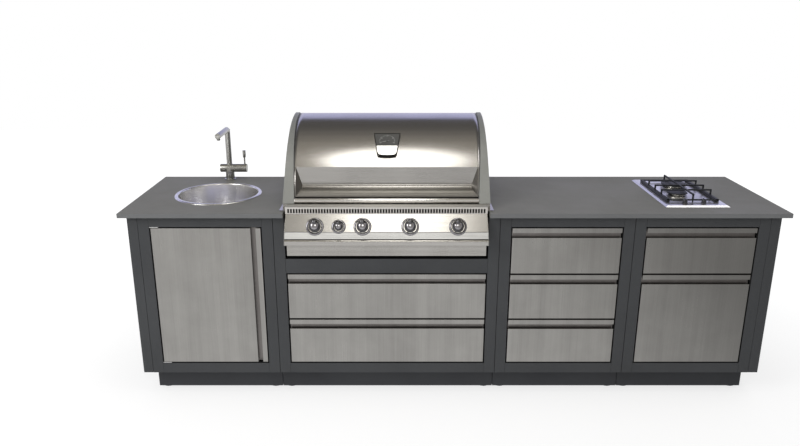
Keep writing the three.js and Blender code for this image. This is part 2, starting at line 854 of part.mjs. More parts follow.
// Worktop with the grill's notch, the sink's and faucet's holes and the hob's cut-out
function worktop() {
  const z = [cabinetTop + seatGap, worktopTop];
  const cutZ = [z[0] - overrun, z[1] + overrun];
  const slab = block([-worktopHalf, worktopHalf], [0, worktopDepth], z);
  const notch = block(
    [grillCentre - grillOpeningHalf, grillCentre + grillOpeningHalf],
    [-overrun, notchDepth],
    cutZ,
  );
  const sinkX = sinkCentre + sinkOffset;
  const sinkHole = uprightRod([sinkX, sinkSetback], cutZ, sinkHoleRadius, fullSides);
  const faucetX = sinkCentre + faucetOffset;
  const shankHole = faucetShankRadius + seatGap;
  const faucetHole = uprightRod([faucetX, faucetSetback], cutZ, shankHole);
  const halfCut = hobWidth / 2 - hobCasingInset + hobCutoutClearance;
  const hobCut = block(
    [hobCentre - halfCut, hobCentre + halfCut],
    [
      hobSetback + hobCasingInset - hobCutoutClearance,
      hobSetback + hobDepth - hobCasingInset + hobCutoutClearance,
    ],
    cutZ,
  );
  return slab.subtract(notch).subtract(sinkHole).subtract(faucetHole).subtract(hobCut);
}
addPart(island, "worktop", worktop(), stoneGrey);

// Sink: a pressed bowl with a raised rim on the worktop. Its frame is at the worktop's surface.
const sink = groupAt(island, sinkCentre + sinkOffset, sinkSetback, worktopTop);
const sinkFloor = sinkRimHeight - sinkDepth;
function sinkBowl() {
  const wall = sinkWall;
  const lift = seatGap + sinkRimHeight;
  return turned(
    [
      [drainRadius, sinkFloor],
      [sinkFloorRadius, sinkFloor],
      [sinkBowlRadius - wall, sinkFloor + (sinkBowlRadius - sinkFloorRadius)],
      [sinkBowlRadius, seatGap + wall],
      [sinkBowlRadius + sinkRimHeight, lift],
      [sinkRimRadius - sinkRimHeight, lift],
      [sinkRimRadius, seatGap],
      [sinkBowlRadius + wall, seatGap],
      [sinkBowlRadius, sinkFloor + (sinkBowlRadius - sinkFloorRadius)],
      [sinkFloorRadius, sinkFloor - wall],
      [drainRadius, sinkFloor - wall],
    ],
    [0, 0],
  );
}
addPart(sink, "sink_bowl", sinkBowl(), brushedSteel);

// Waste: strainer flange on the bowl's floor, body below it, tailpiece, bottle trap and outlet to the rear
function sinkWaste() {
  const flangeBase = sinkFloor + seatGap;
  const bodyRadius = drainRadius - seatGap;
  const bodyBottom = flangeBase - wasteBodyHeight;
  const tailBottom = bodyBottom - tailpieceLength;
  const trapBottom = tailBottom - trapHeight;
  const outside = turned(
    [
      [0, flangeBase + wasteFlangeThickness],
      [wasteFlangeRadius, flangeBase + wasteFlangeThickness / 2],
      [wasteFlangeRadius, flangeBase],
      [bodyRadius, flangeBase],
      [bodyRadius, bodyBottom],
      [tailpieceRadius, bodyBottom],
      [tailpieceRadius, tailBottom],
      [trapRadius, tailBottom],
      [trapRadius, trapBottom],
      [0, trapBottom],
    ],
    [0, 0],
  );
  const basket = block(
    [-strainerCircleRadius, strainerCircleRadius],
    [-strainerCircleRadius, strainerCircleRadius],
    [bodyBottom + overrun, flangeBase - strainerThickness],
  );
  let waste = outside.subtract(basket);
  for (let i = 0; i < strainerHoleCount; i++) {
    const angle = (i / strainerHoleCount) * Math.PI * 2;
    const x = Math.cos(angle) * (strainerCircleRadius - strainerHoleRadius);
    const y = Math.sin(angle) * (strainerCircleRadius - strainerHoleRadius);
    const z = [flangeBase - strainerThickness - overrun, flangeBase + wasteFlangeThickness + overrun];
    waste = waste.subtract(uprightRod([x, y], z, strainerHoleRadius, boltSides));
  }
  const outletZ = tailBottom - trapRadius;
  const outletEnd = cabinetBack - boardThickness - outletClearance - sinkSetback;
  return waste.add(rod([0, trapRadius / 2, outletZ], [0, outletEnd, outletZ], outletRadius));
}
addPart(sink, "sink_waste", sinkWaste(), plasticWhite);

// Faucet: its frame is at the column's foot on the worktop
const faucet = groupAt(island, sinkCentre + faucetOffset, faucetSetback, worktopTop);
const barTop = faucetBarRise + faucetBarRadius;
function faucetBody() {
  const axis = [0, 0];
  const bar = levelRod([-faucetBarLeft, faucetBarRight], [0, faucetBarRise], faucetBarRadius, fullSides);
  const column = uprightRod(axis, [seatGap, faucetBarRise], faucetColumnRadius, fullSides);
  const flange = uprightRod(axis, [seatGap, faucetFlangeHeight], faucetFlangeRadius, fullSides);
  const shank = uprightRod(axis, [-faucetShankLength, faucetFlangeHeight], faucetShankRadius);
  const nutTop = -worktopThickness - seatGap;
  const nut = uprightRod(axis, [nutTop - faucetNutHeight, nutTop], faucetNutRadius, boltSides);
  const socket = uprightRod(axis, [faucetBarRise, barTop + spoutSocketRise], spoutRadius);
  const spigot = levelRod([0, faucetBarRight + faucetSpigotLength], [0, faucetBarRise], faucetSpigotRadius);
  return joined(bar, column, flange, shank, nut, socket, spigot);
}
addPart(faucet, "faucet_body", faucetBody(), brushedSteel);

// Spout: riser, elbow, arm towards the front and aerator at its end
function faucetSpout() {
  const elbow = [0, 0, spoutHeight - spoutRadius];
  const riser = rod([0, 0, barTop + spoutSocketRise + seatGap], elbow, spoutRadius);
  const arm = rod(elbow, [0, -spoutReach, elbow[2]], spoutRadius);
  const aeratorY = -spoutReach + aeratorInset;
  const tip = elbow[2] - spoutRadius - aeratorDrop;
  const aerator = rod([0, aeratorY, elbow[2]], [0, aeratorY, tip], aeratorRadius);
  return joined(riser, ball(elbow, spoutRadius), arm, aerator);
}
addPart(faucet, "faucet_spout", faucetSpout(), brushedSteel);

// Handle cap on the bar's spigot, with a slot for the lever. Its frame is on the bar's axis.
const capStart = faucetBarRight + seatGap;
const capEnd = capStart + faucetCapLength;
const leverX = (capStart + faucetSpigotLength + capEnd) / 2;
const handle = groupAt(faucet, 0, 0, faucetBarRise);
function handleCap() {
  const outside = levelRod([capStart, capEnd], [0, 0], faucetBarRadius, fullSides);
  const boreEnds = [capStart - overrun, capStart + faucetSpigotLength];
  const bore = levelRod(boreEnds, [0, 0], faucetSpigotRadius + seatGap);
  const slotHalf = leverStemRadius + seatGap;
  const slot = block(
    [leverX - leverSlotBack, capEnd - leverSlotWall],
    [-slotHalf, slotHalf],
    [faucetBarRadius - leverFoot, faucetBarRadius + overrun],
  );
  return outside.subtract(bore).subtract(slot);
}
addPart(handle, "faucet_handle_cap", handleCap(), brushedSteel);

// Lever: thin stem with a thicker grip, tilting outwards in the cap's slot. Its frame is at its tilt axis.
const leverPivotZ = faucetBarRadius - leverFoot + leverStemRadius;
const lever = groupAt(handle, leverX, 0, leverPivotZ);
function faucetLever() {
  const top = faucetBarRadius + leverHeight - leverPivotZ;
  const foot = -leverStemRadius / 2;
  const stem = rod([0, 0, foot], [0, 0, top - leverGripLength], leverStemRadius);
  const cone = turned(
    [
      [0, top - leverGripLength - leverGripRadius],
      [leverStemRadius, top - leverGripLength - leverGripRadius],
      [leverGripRadius, top - leverGripLength],
      [leverGripRadius, top],
      [0, top],
    ],
    [0, 0],
    rodSides,
  );
  return stem.add(cone);
}
addPart(lever, "faucet_lever", faucetLever(), brushedSteel);

// Hob: its frame is at the middle of the plate's front edge, on the worktop's surface
const hob = groupAt(island, hobCentre, hobSetback, worktopTop);
function hobPlate() {
  const half = hobWidth / 2;
  const corners = [];
  for (const [z, inset] of [[seatGap, 0], [plateTop, hobBevel]]) {
    for (const x of [-half + inset, half - inset]) {
      corners.push([x, inset, z], [x, hobDepth - inset, z]);
    }
  }
  const casingHalf = half - hobCasingInset;
  const casing = block(
    [-casingHalf, casingHalf],
    [hobCasingInset, hobDepth - hobCasingInset],
    [-hobCasingDepth, hobPlateHeight / 2],
  );
  const innerHalf = casingHalf - hobCasingWall;
  const inside = block(
    [-innerHalf, innerHalf],
    [hobCasingInset + hobCasingWall, hobDepth - hobCasingInset - hobCasingWall],
    [-hobCasingDepth - overrun, plateTop - hobCasingWall],
  );
  let plate = hull(corners).add(casing).subtract(inside);
  for (const side of [-1, 1]) {
    const x = (side * hobKnobSpacing) / 2;
    const y = hobDepth * hobKnobDepthShare;
    plate = plate.subtract(rod([x, y, -overrun], [x, y, plateTop + overrun], hobKnobShaftRadius + seatGap));
  }
  return plate;
}
addPart(hob, "hob_plate", hobPlate(), polishedSteel);

// A gas burner: base ring, crown and cap, sitting on the plate
function gasBurner(radius, [x, y]) {
  const crown = radius * burnerCrownRadiusShare;
  const base = plateTop + seatGap;
  const crownTop = base + burnerBaseHeight + burnerCrownHeight;
  const outline = [
    [0, base],
    [radius, base],
    [radius, base + burnerBaseHeight],
    [crown, base + burnerBaseHeight],
    [crown, crownTop],
    [radius, crownTop],
    [radius, crownTop + burnerCapHeight - burnerCapEdge],
    [radius - burnerCapEdge, crownTop + burnerCapHeight],
    [0, crownTop + burnerCapHeight],
  ];
  return turned(outline, [x, y]);
}
const rearBurnerAt = [rearBurnerOffset, hobDepth * rearBurnerDepthShare];
const frontBurnerAt = [frontBurnerOffset, hobDepth * frontBurnerDepthShare];
addPart(hob, "hob_burner_rear", gasBurner(rearBurnerRadius, rearBurnerAt), blackIron);
addPart(hob, "hob_burner_front", gasBurner(frontBurnerRadius, frontBurnerAt), polishedSteel);

// Pan support: a base frame on the plate, three bridges across and one lengthwise bridge
function panSupport() {
  const half = hobWidth / 2 - supportSideInset;
  const low = plateTop + seatGap;
  const y0 = hobDepth * supportFrontShare;
  const y1 = hobDepth * supportBackShare;
  const outside = block([-half, half], [y0, y1], [low, low + supportBar]);
  const inside = block(
    [-half + supportBar, half - supportBar],
    [y0 + supportBar, y1 - supportBar],
    [low - overrun, low + supportBar + overrun],
  );
  const pieces = [outside.subtract(inside)];
  const barZ = [supportTop - supportBar, supportTop];
  for (const share of supportBridgeShares) {
    const y = y0 + (y1 - y0) * share;
    const barY = [y - supportBar / 2, y + supportBar / 2];
    const reach = half - supportBridgeInset;
    pieces.push(block([-reach, reach], barY, barZ));
    for (const side of [-1, 1]) {
      const ends = [side * (reach - supportBar), side * reach].sort((a, b) => a - b);
      pieces.push(block(ends, barY, [low + supportBar / 2, supportTop]));
    }
  }
  const spine = [-supportBar / 2, supportBar / 2];
  pieces.push(block(spine, [y0, y1], barZ));
  pieces.push(block(spine, [y0, y0 + supportBar], [low, supportTop]));
  pieces.push(block(spine, [y1 - supportBar, y1], [low, supportTop]));
  return joined(pieces);
}
addPart(hob, "hob_pan_support", panSupport(), blackIron);

// Hob knobs, each with a shaft through the plate. A knob's frame is on the plate at its axis.
function hobKnob() {
  const skirt = turned(
    [
      [0, seatGap],
      [hobKnobRadius, seatGap],
      [hobKnobRadius, hobKnobHeight - hobKnobGripHeight],
      [hobKnobRadius - hobKnobGripHeight / 2, hobKnobHeight],
      [0, hobKnobHeight],
    ],
    [0, 0],
    rodSides,
  );
  const grip = block(
    [-hobKnobGripWidth / 2, hobKnobGripWidth / 2],
    [-hobKnobRadius + seatGap, hobKnobRadius - seatGap],
    [hobKnobHeight / 2, hobKnobHeight + hobKnobGripHeight],
  );
  const shaft = rod([0, 0, hobKnobHeight / 2], [0, 0, -hobKnobShaftLength], hobKnobShaftRadius);
  return joined(skirt, grip, shaft);
}
for (const [side, name] of [[-1, "hob_knob_left"], [1, "hob_knob_right"]]) {
  const place = groupAt(hob, (side * hobKnobSpacing) / 2, hobDepth * hobKnobDepthShare, plateTop);
  addPart(place, name, hobKnob(), blackKnob);
}

// Grill: its frame is at the middle of the grill cabinet, at the worktop's front edge, on the floor
const grill = groupAt(island, grillCentre, 0, 0);

// Body: fire box, rim, flanges, rear wall with the lid's pins, ledges for the grate and hangers for the tray
function grillBody() {
  const flangeZ = [worktopTop + seatGap, worktopTop + seatGap + grillSheet];
  const rimTop = lidSeat - seatGap;
  const innerHalf = tubHalfWidth - grillSheet;
  const tubInside = block(
    [-innerHalf, innerHalf],
    [tubFront + grillSheet, tubBack - grillSheet],
    [tubBase + grillSheet, rearWallTop + overrun],
  );
  const tub = block([-tubHalfWidth, tubHalfWidth], [tubFront, tubBack], [tubBase, rimTop]);
  const rimOutside = block([-rimHalfWidth, rimHalfWidth], [rimFront, rimBack], [flangeZ[0], rimTop]);
  const rimHollow = block(
    [-rimHalfWidth + grillSheet, rimHalfWidth - grillSheet],
    [rimFront + grillSheet, rimBack - grillSheet],
    [flangeZ[0] - overrun, rimTop - grillSheet],
  );
  const flangeOutside = block([-flangeHalfWidth, flangeHalfWidth], [flangeFront, flangeBack], flangeZ);
  const flangeHollow = block(
    [-trimHalfWidth - seatGap, trimHalfWidth + seatGap],
    [flangeFront - overrun, tubFront + grillSheet],
    [flangeZ[0] - overrun, flangeZ[1] + overrun],
  );
  const rearWall = block(
    [-rearWallHalfWidth, rearWallHalfWidth],
    [tubBack - grillSheet, tubBack],
    [tubBase, rearWallTop],
  );
  let body = rimOutside.subtract(rimHollow).add(tub).add(flangeOutside.subtract(flangeHollow));
  body = body.subtract(tubInside).add(rearWall);
  const drainY = (tubFront + tubBack) / 2;
  body = body.subtract(
    block(
      [-tubDrainWidth / 2, tubDrainWidth / 2],
      [drainY - tubDrainDepth / 2, drainY + tubDrainDepth / 2],
      [tubBase - overrun, tubBase + grillSheet + overrun],
    ),
  );
  for (const x of knobOffsets) {
    const hole = rod(
      [x, tubFront - overrun, manifoldZ],
      [x, tubFront + grillSheet + overrun, manifoldZ],
      venturiRadius + seatGap,
    );
    body = body.subtract(hole);
  }
  return joined(body, grillEars(), grateLedges(), trayHangers());
}

// The ears rise inside the lid's ends and carry its pivot pins
function grillEars() {
  const top = pivotHeight + earTopRise;
  return [-1, 1].flatMap((side) => {
    const faces = [side * (rearWallHalfWidth - grillSheet), side * rearWallHalfWidth].sort((a, b) => a - b);
    const plate = block(faces, [earFront, tubBack - grillSheet / 2], [earFoot, top]);
    const pin = rod(
      [side * (rearWallHalfWidth - grillSheet / 2), pivotSetback, pivotHeight],
      [side * (rearWallHalfWidth + lidPinReach), pivotSetback, pivotHeight],
      lidPinRadius,
    );
    const notch = block(
      [faces[0] - overrun, faces[1] + overrun],
      [earBack, tubBack - grillSheet],
      [earFoot - overrun, pivotHeight - earTopRise],
    );
    return [plate.subtract(notch), pin];
  });
}

function grateLedges() {
  const innerHalf = tubHalfWidth - grillSheet / 2;
  const top = grateTop - grateThickness - seatGap;
  return [
    [tubFront + grillSheet / 2, tubFront + grillSheet + grateLedgeDepth],
    [tubBack - grillSheet - grateLedgeDepth, tubBack - grillSheet / 2],
  ].map((y) => block([-innerHalf, innerHalf], y, [top - grillSheet, top]));
}

function trayHangers() {
  const top = tubBase + grillSheet / 2;
  const lipTop = trayTop - trayWall - seatGap;
  const face = trayHalfWidth + trayRim + hangerGap;
  return [-1, 1].flatMap((side) => {
    const web = [side * face, side * (face + grillSheet)].sort((a, b) => a - b);
    const lip = [side * (face - hangerLip), side * (face + grillSheet)].sort((a, b) => a - b);
    const y = [tubFront, hangerBack];
    const lipY = [hangerFront, hangerBack];
    return [
      block(web, y, [lipTop - grillSheet, top]),
      block(web, lipY, [lipTop - grillSheet, trayTop]),
      block(lip, lipY, [lipTop - grillSheet, lipTop]),
    ];
  });
}
addPart(grill, "grill_body", grillBody(), brushedSteel);

// Vent trim: an upright strip with a row of slots, and a ledge back to the body's rim
function ventTrim() {
  const x = [-trimHalfWidth, trimHalfWidth];
  const upright = block(x, [trimFront, trimFront + grillSheet], [trimBottom, trimTop]);
  const ledge = block(x, [trimFront, rimFront - seatGap], [trimTop - grillSheet, trimTop]);
  const slots = rowOf(slotCount, slotPitch).map((middle) =>
    block(
      [middle - slotWidth / 2, middle + slotWidth / 2],
      [trimFront - overrun, trimFront + grillSheet + overrun],
      [slotBottom, slotTop],
    ),
  );
  return cut(joined(upright, ledge), slots);
}
addPart(grill, "grill_vent_trim", ventTrim(), brushedSteel);

// Control panel: slanted face, concave toe, bullnose, cheeks and knob bezels
function panelOutline() {
  const toeY = panelTopSetback - panelFaceHeight * Math.tan(panelTilt);
  const noseY = -bullnoseReach + bullnoseTopRadius;
  const bend = new THREE.QuadraticBezierCurve(
    new THREE.Vector2(toeY, panelToe),
    new THREE.Vector2((toeY - bullnoseReach) / 2, bullnoseTop),
    new THREE.Vector2(noseY, bullnoseTop),
  );
  const nose = [
    [-bullnoseReach, bullnoseBottom + bullnoseRadius],
    [-bullnoseReach + bullnoseRadius / 3, bullnoseBottom + bullnoseRadius / 3],
    [-bullnoseReach + bullnoseRadius, bullnoseBottom],
    [bullnoseBack, bullnoseBottom],
  ];
  const bendSteps = 4;
  const toe = bend.getPoints(bendSteps).map((p) => [p.x, p.y]);
  const roundSteps = 3;
  for (let i = 1; i <= roundSteps; i++) {
    const angle = (i / roundSteps) * (Math.PI / 2);
    toe.push([
      noseY - Math.sin(angle) * bullnoseTopRadius,
      bullnoseTop - bullnoseTopRadius + Math.cos(angle) * bullnoseTopRadius,
    ]);
  }
  return [[panelTopSetback, panelTop], ...toe, ...nose];
}

// The space between the panel's two sides, which lean inwards above the bullnose, made narrower by an inset
function panelSides(inset) {
  const levels = [
    [bullnoseBottom - overrun, bullnoseHalfWidth],
    [bullnoseTop, bullnoseHalfWidth],
    [panelTop, panelHalfWidth],
  ];
  const corners = [];
  for (const [z, half] of levels) {
    for (const x of [inset - half, half - inset]) {
      corners.push([x, -bullnoseReach - overrun, z], [x, tubFront, z]);
    }
  }
  return hull(corners);
}

function controlPanel() {
  const outline = panelOutline();
  const skin = [...outline, ...insetPath(outline, grillSheet).reverse()];
  const wide = [-bullnoseHalfWidth - overrun, bullnoseHalfWidth + overrun];
  const cheekOutline = [
    ...outline.slice(0, -1),
    [tubFront - seatGap, bullnoseBottom],
    [tubFront - seatGap, panelTop],
  ];
  const cheeks = sidePrism(cheekOutline, wide).subtract(panelSides(grillSheet));
  let panel = sidePrism(skin, wide).add(cheeks).intersect(panelSides(0));
  const knobs = [...knobOffsets.map((x) => [x, largeBezelRadius]), [smallKnobOffset, smallBezelRadius]];
  for (const [x, radius] of knobs) {
    const at = [x, knobY, knobHeight];
    panel = panel.add(ontoPanel(knobBezel(radius), at));
    const hole = rod([0, 0, -overrun - grillSheet], [0, 0, bezelHeight], knobShaftRadius + seatGap);
    panel = panel.subtract(ontoPanel(hole, at));
  }
  return panel;
}

// An open line of points moved inwards, towards the back of the panel
function insetPath(points, distance) {
  return points.map((point, i) => {
    const before = points[Math.max(i - 1, 0)];
    const after = points[Math.min(i + 1, points.length - 1)];
    const along = new THREE.Vector2(after[0] - before[0], after[1] - before[1]).normalize();
    return [point[0] - along.y * distance, point[1] + along.x * distance];
  });
}

// Turns a solid drawn about the Z axis so that it stands on the slanted panel
function ontoPanel(solid, at) {
  return solid.rotate([90 - THREE.MathUtils.radToDeg(panelTilt), 0, 0]).translate(at);
}

function knobBezel(radius) {
  return turned(
    [
      [radius - bezelWidth, -grillSheet / 2],
      [radius, -grillSheet / 2],
      [radius, bezelStep],
      [radius - bezelWidth / 3, bezelHeight],
      [radius - bezelWidth / 2, bezelHeight],
      [radius - bezelWidth, bezelStep],
    ],
    [0, 0],
  );
}
addPart(grill, "grill_control_panel", controlPanel(), brushedSteel);

// A knob: skirt, domed body, a grip over its upper half and a shaft to its valve
function grillKnob(bezelRadius) {
  const radius = bezelRadius - bezelWidth - knobClearance;
  const body = radius * knobBodyRadiusShare;
  const gripHalf = (body * knobGripWidthShare) / 2;
  const round = turned(
    [
      [0, seatGap],
      [radius, seatGap],
      [radius - knobSkirtTaper, knobSkirtHeight],
      [body, knobSkirtHeight + knobSkirtTaper],
      [body - knobSkirtTaper / 2, knobBodyHeight],
      [body / 2, knobBodyHeight + knobDomeHeight],
      [0, knobBodyHeight + knobDomeHeight],
    ],
    [0, 0],
  );
  const bow = rod([-gripHalf, 0, knobGripHeight - radius], [gripHalf, 0, knobGripHeight - radius], radius);
  const upper = block([-gripHalf, gripHalf], [-body / 3, radius], [knobSkirtHeight / 2, knobGripHeight]);
  const shaft = rod([0, 0, knobSkirtHeight], [0, 0, -knobShaftLength], knobShaftRadius);
  return joined(round, bow.intersect(upper), shaft);
}
const knobRows = [
  ["grill_knob_1", knobOffsets[0], largeBezelRadius],
  ["grill_knob_small", smallKnobOffset, smallBezelRadius],
  ["grill_knob_2", knobOffsets[1], largeBezelRadius],
  ["grill_knob_3", knobOffsets[2], largeBezelRadius],
  ["grill_knob_4", knobOffsets[3], largeBezelRadius],
];
for (const [name, x, radius] of knobRows) {
  const place = groupAt(grill, x, knobY, knobHeight);
  place.rotation.x = Math.PI / 2 - panelTilt;
  addPart(place, name, grillKnob(radius), chromeDark);
}

// Burner set: manifold with a valve behind each knob, and four burners through the fire box's front wall
function burnerSet() {
  const pieces = [
    levelRod([-manifoldHalfLength, manifoldHalfLength], [manifoldY, manifoldZ], manifoldRadius),
  ];
  for (const x of [...knobOffsets, smallKnobOffset]) {
    const at = [x, knobY, knobHeight];
    const valve = rod([0, 0, -manifoldDepth], [0, 0, -valveStart], valveRadius);
    const socket = rod([0, 0, -knobShaftLength - seatGap], [0, 0, 0], knobShaftRadius + seatGap);
    pieces.push(ontoPanel(valve.subtract(socket), at));
  }
  for (const x of knobOffsets) {
    pieces.push(rod([x, manifoldY, manifoldZ], [x, burnerFront + overrun, manifoldZ], venturiRadius));
    pieces.push(rod([x, burnerFront, manifoldZ], [x, burnerBack, manifoldZ], burnerRadius));
  }
  return joined(pieces);
}
addPart(grill, "grill_burners", burnerSet(), polishedSteel);

// Cooking grate on the ledges inside the fire box
function cookingGrate() {
  const half = tubHalfWidth - grillSheet - knobClearance;
  const y0 = tubFront + grillSheet + knobClearance;
  const y1 = tubBack - grillSheet - knobClearance;
  const z = [grateTop - grateThickness, grateTop];
  const plate = block([-half, half], [y0, y1], z);
  const count = Math.floor((half + half - grateSlotInset) / gratePitch);
  const slots = rowOf(count, gratePitch).map((middle) =>
    block(
      [middle - grateSlotWidth / 2, middle + grateSlotWidth / 2],
      [y0 + grateSlotInset, y1 - grateSlotInset],
      [z[0] - overrun, z[1] + overrun],
    ),
  );
  return cut(plate, slots);
}
addPart(grill, "grill_cooking_grate", cookingGrate(), blackIron);

// Drip tray: an apron under the bullnose with a shallow tray behind it, its rims resting on the body's hangers
function dripTray() {
  const x = [-apronHalfWidth, apronHalfWidth];
  const y0 = apronSetback;
  const y1 = apronSetback + apronReturn;
  const apron = block(x, [y0, y0 + grillSheet], [apronBottom, apronTop]);
  const topReturn = block(x, [y0, y1], [apronTop - grillSheet, apronTop]);
  const bottomReturn = block(x, [y0, y1], [apronBottom, trayBottom + trayWall]);
  const outside = block([-trayHalfWidth, trayHalfWidth], [y1 - trayWall, trayBack], [trayBottom, trayTop]);
  const rimHalf = trayHalfWidth + trayRim;
  const rim = block([-rimHalf, rimHalf], [y1 - trayWall, trayBack], [trayTop - trayWall, trayTop]);
  const inner = trayHalfWidth - trayWall;
  const insideZ = [trayBottom + trayWall, trayTop + overrun];
  const inside = block([-inner, inner], [y1, trayBack - trayWall], insideZ);
  return joined(apron, topReturn, bottomReturn, joined(outside, rim).subtract(inside));
}
addPart(grill, "grill_drip_tray", dripTray(), brushedSteel);

// Lid: its frame is on the pivot axis
const lid = groupAt(grill, 0, pivotSetback, pivotHeight);

// Side outline of the lid: straight front, curved top, rounded rear corner, and a rear lower arc that
// keeps clear of the rim as the lid turns
const lidCrown = new THREE.QuadraticBezierCurve(
  new THREE.Vector2(creaseSetback, creaseHeight),
  new THREE.Vector2(lidBend, lidTop),
  new THREE.Vector2(lidBack - lidCornerRadius, lidTop),
);
function lidOutline() {
  const points = [[lidFront, lidSeat]];
  points.push(...lidCrown.getPoints(lidBendSteps).map((p) => [p.x, p.y]));
  const cornerSteps = 3;
  for (let i = 1; i <= cornerSteps; i++) {
    const angle = (i / cornerSteps) * (Math.PI / 2);
    points.push([
      lidBack - lidCornerRadius + Math.sin(angle) * lidCornerRadius,
      lidTop - lidCornerRadius + Math.cos(angle) * lidCornerRadius,
    ]);
  }
  const reach = lidBack - pivotSetback;
  const drop = pivotHeight - lidSeat;
  for (let i = 0; i <= lidRearSteps; i++) {
    const angle = (i / lidRearSteps) * (Math.PI / 2);
    points.push([pivotSetback + Math.cos(angle) * reach, pivotHeight - Math.sin(angle) * drop]);
  }
  return points;
}

// The middle of the lid between the two slanted inner faces of its end caps, made narrower by a gap
function lidMiddle(gap) {
  const low = lidSeat - overrun;
  const high = lidTop + overrun;
  const slope = (capBandBottom - capBandTop) / (lidTop - lidSeat);
  const halfAt = (z) => lidHalfWidth - capBandBottom + (z - lidSeat) * slope - gap;
  const corners = [];
  for (const z of [low, high]) {
    for (const side of [-1, 1]) {
      corners.push([side * halfAt(z), lidFront - overrun, z], [side * halfAt(z), lidBack + overrun, z]);
    }
  }
  return hull(corners);
}

function lidCap(side) {
  const outline = lidOutline();
  const inner = lidHalfWidth - capBandBottom - overrun;
  const span = (a, b) => [side * a, side * b].sort((p, q) => p - q);
  const full = sidePrism(outline, span(inner, lidHalfWidth));
  const hollow = sidePrism(insetOutline(outline, capRim), span(inner - overrun, lidHalfWidth - capPlate));
  const boss = rod(
    [side * bossEnd, pivotSetback, pivotHeight],
    [side * (lidHalfWidth - capPlate / 2), pivotSetback, pivotHeight],
    bossRadius,
  );
  const bore = rod(
    [side * (bossEnd - overrun), pivotSetback, pivotHeight],
    [side * (rearWallHalfWidth + lidPinReach + overrun), pivotSetback, pivotHeight],
    lidPinRadius + seatGap,
  );
  return full.subtract(hollow).subtract(lidMiddle(0)).add(boss).subtract(bore);
}

// The grip recess across the lid's front: a wedge with mitred ends, enlarged by a skin for its inner side
function lidRecess(skin) {
  const middle = lidHalfWidth - capBandBottom;
  const floor = [recessFloorSetback + skin, recessFloorHeight - skin / 2];
  const crease = [creaseSetback + skin, creaseHeight + skin];
  const lip = [recessLipSetback, recessLipHeight - skin];
  const creaseHalf = middle + recessMargin + skin;
  const lipHalf = middle - recessMargin + skin;
  const floorHalf = middle - recessMitre + skin;
  const stretchShare = 1.25;
  const outwards = (from, to) => to.map((value, i) => from[i] + (value - from[i]) * stretchShare);
  const corners = [];
  for (const side of [-1, 1]) {
    const deep = [side * floorHalf, ...floor];
    corners.push(deep);
    corners.push(outwards(deep, [side * creaseHalf, ...crease]));
    corners.push(outwards(deep, [side * lipHalf, ...lip]));
  }
  return hull(corners);
}

function lidShell() {
  const outline = insetOutline(lidOutline(), capProud);
  const wide = [-lidHalfWidth, lidHalfWidth];
  const outside = sidePrism(outline, wide).subtract(lidRecess(0));
  const inside = sidePrism(insetOutline(outline, lidSkin), wide).subtract(lidRecess(lidSkin));
  const below = block(
    [-lidHalfWidth - overrun, lidHalfWidth + overrun],
    [lidFront - overrun, pivotSetback],
    [lidSeat - overrun, recessLipHeight - lidSkin],
  );
  const behind = block(
    [-lidHalfWidth - overrun, lidHalfWidth + overrun],
    [lidBend, lidBack + overrun],
    [lidSeat - overrun, lidRearEdge],
  );
  const skirt = block(
    [-lidHalfWidth, lidHalfWidth],
    [skirtSetback - lidSkin, skirtSetback],
    [lidSeat + seatGap, recessLipHeight + seatGap],
  );
  return outside.subtract(inside).subtract(below).subtract(behind).add(skirt).intersect(lidMiddle(seatGap));
}

// Rail along the lid's lower front edge, held between the end caps
function lidRail() {
  const long = levelRod([-lidHalfWidth, lidHalfWidth], [railSetback, railHeight], railRadius);
  return long.intersect(lidMiddle(seatGap));
}

// Places a grill solid in the lid's frame
function inLid(solid) {
  return solid.translate([0, -pivotSetback, -pivotHeight]);
}
addPart(lid, "lid_shell", inLid(lidShell()), brushedSteel);
addPart(lid, "lid_cap_left", inLid(lidCap(-1)), castGrey);
addPart(lid, "lid_cap_right", inLid(lidCap(1)), castGrey);
addPart(lid, "lid_handle_rail", inLid(lidRail()), polishedSteel);

// Thermometer: a tapering plate with a raised rim and a round dial, seated on the lid's curve
function gaugeOutline(inset) {
  const top = gaugeTopWidth / 2 - inset;
  const bottom = gaugeBottomWidth / 2 - inset;
  const high = gaugeLength / 2 - inset;
  const low = -gaugeLength / 2 + gaugeSag + inset;
  const sag = new THREE.QuadraticBezierCurve(
    new THREE.Vector2(-bottom, low),
    new THREE.Vector2(0, low - gaugeSag),
    new THREE.Vector2(bottom, low),
  );
  const sagSteps = 6;
  return [[top, high], [-top, high], ...sag.getPoints(sagSteps).map((p) => [p.x, p.y])];
}

function lidGauge() {
  const plate = extruded(shapeOf(gaugeOutline(0)), gaugeSunk + gaugeStand + gaugeRimHeight);
  plate.translate(0, 0, -gaugeSunk);
  const well = extruded(shapeOf(gaugeOutline(gaugeRimWidth)), gaugeRimHeight + overrun);
  well.translate(0, 0, gaugeStand);
  const dial = rod([0, dialOffset, 0], [0, dialOffset, gaugeStand + dialHeight], dialRadius, fullSides);
  const flat = solidOf(plate).subtract(solidOf(well)).add(dial);
  const middle = lidCrown.getPoint(gaugePlaceShare);
  const along = lidCrown.getTangent(gaugePlaceShare);
  const tilted = flat.rotate([THREE.MathUtils.radToDeg(along.angle()), 0, 0]);
  const placed = tilted.translate([0, middle.x, middle.y]);
  const under = sidePrism(insetOutline(lidOutline(), capProud - seatGap), [-lidHalfWidth, lidHalfWidth]);
  return placed.subtract(under);
}
addPart(lid, "lid_thermometer", inLid(lidGauge()), polishedSteel);

// The origin is on the floor, in the middle of the island's length and depth
const extent = new THREE.Box3().setFromObject(island, true);
island.position.set(-(extent.min.x + extent.max.x) / 2, -(extent.min.y + extent.max.y) / 2, -extent.min.z);

export default island;
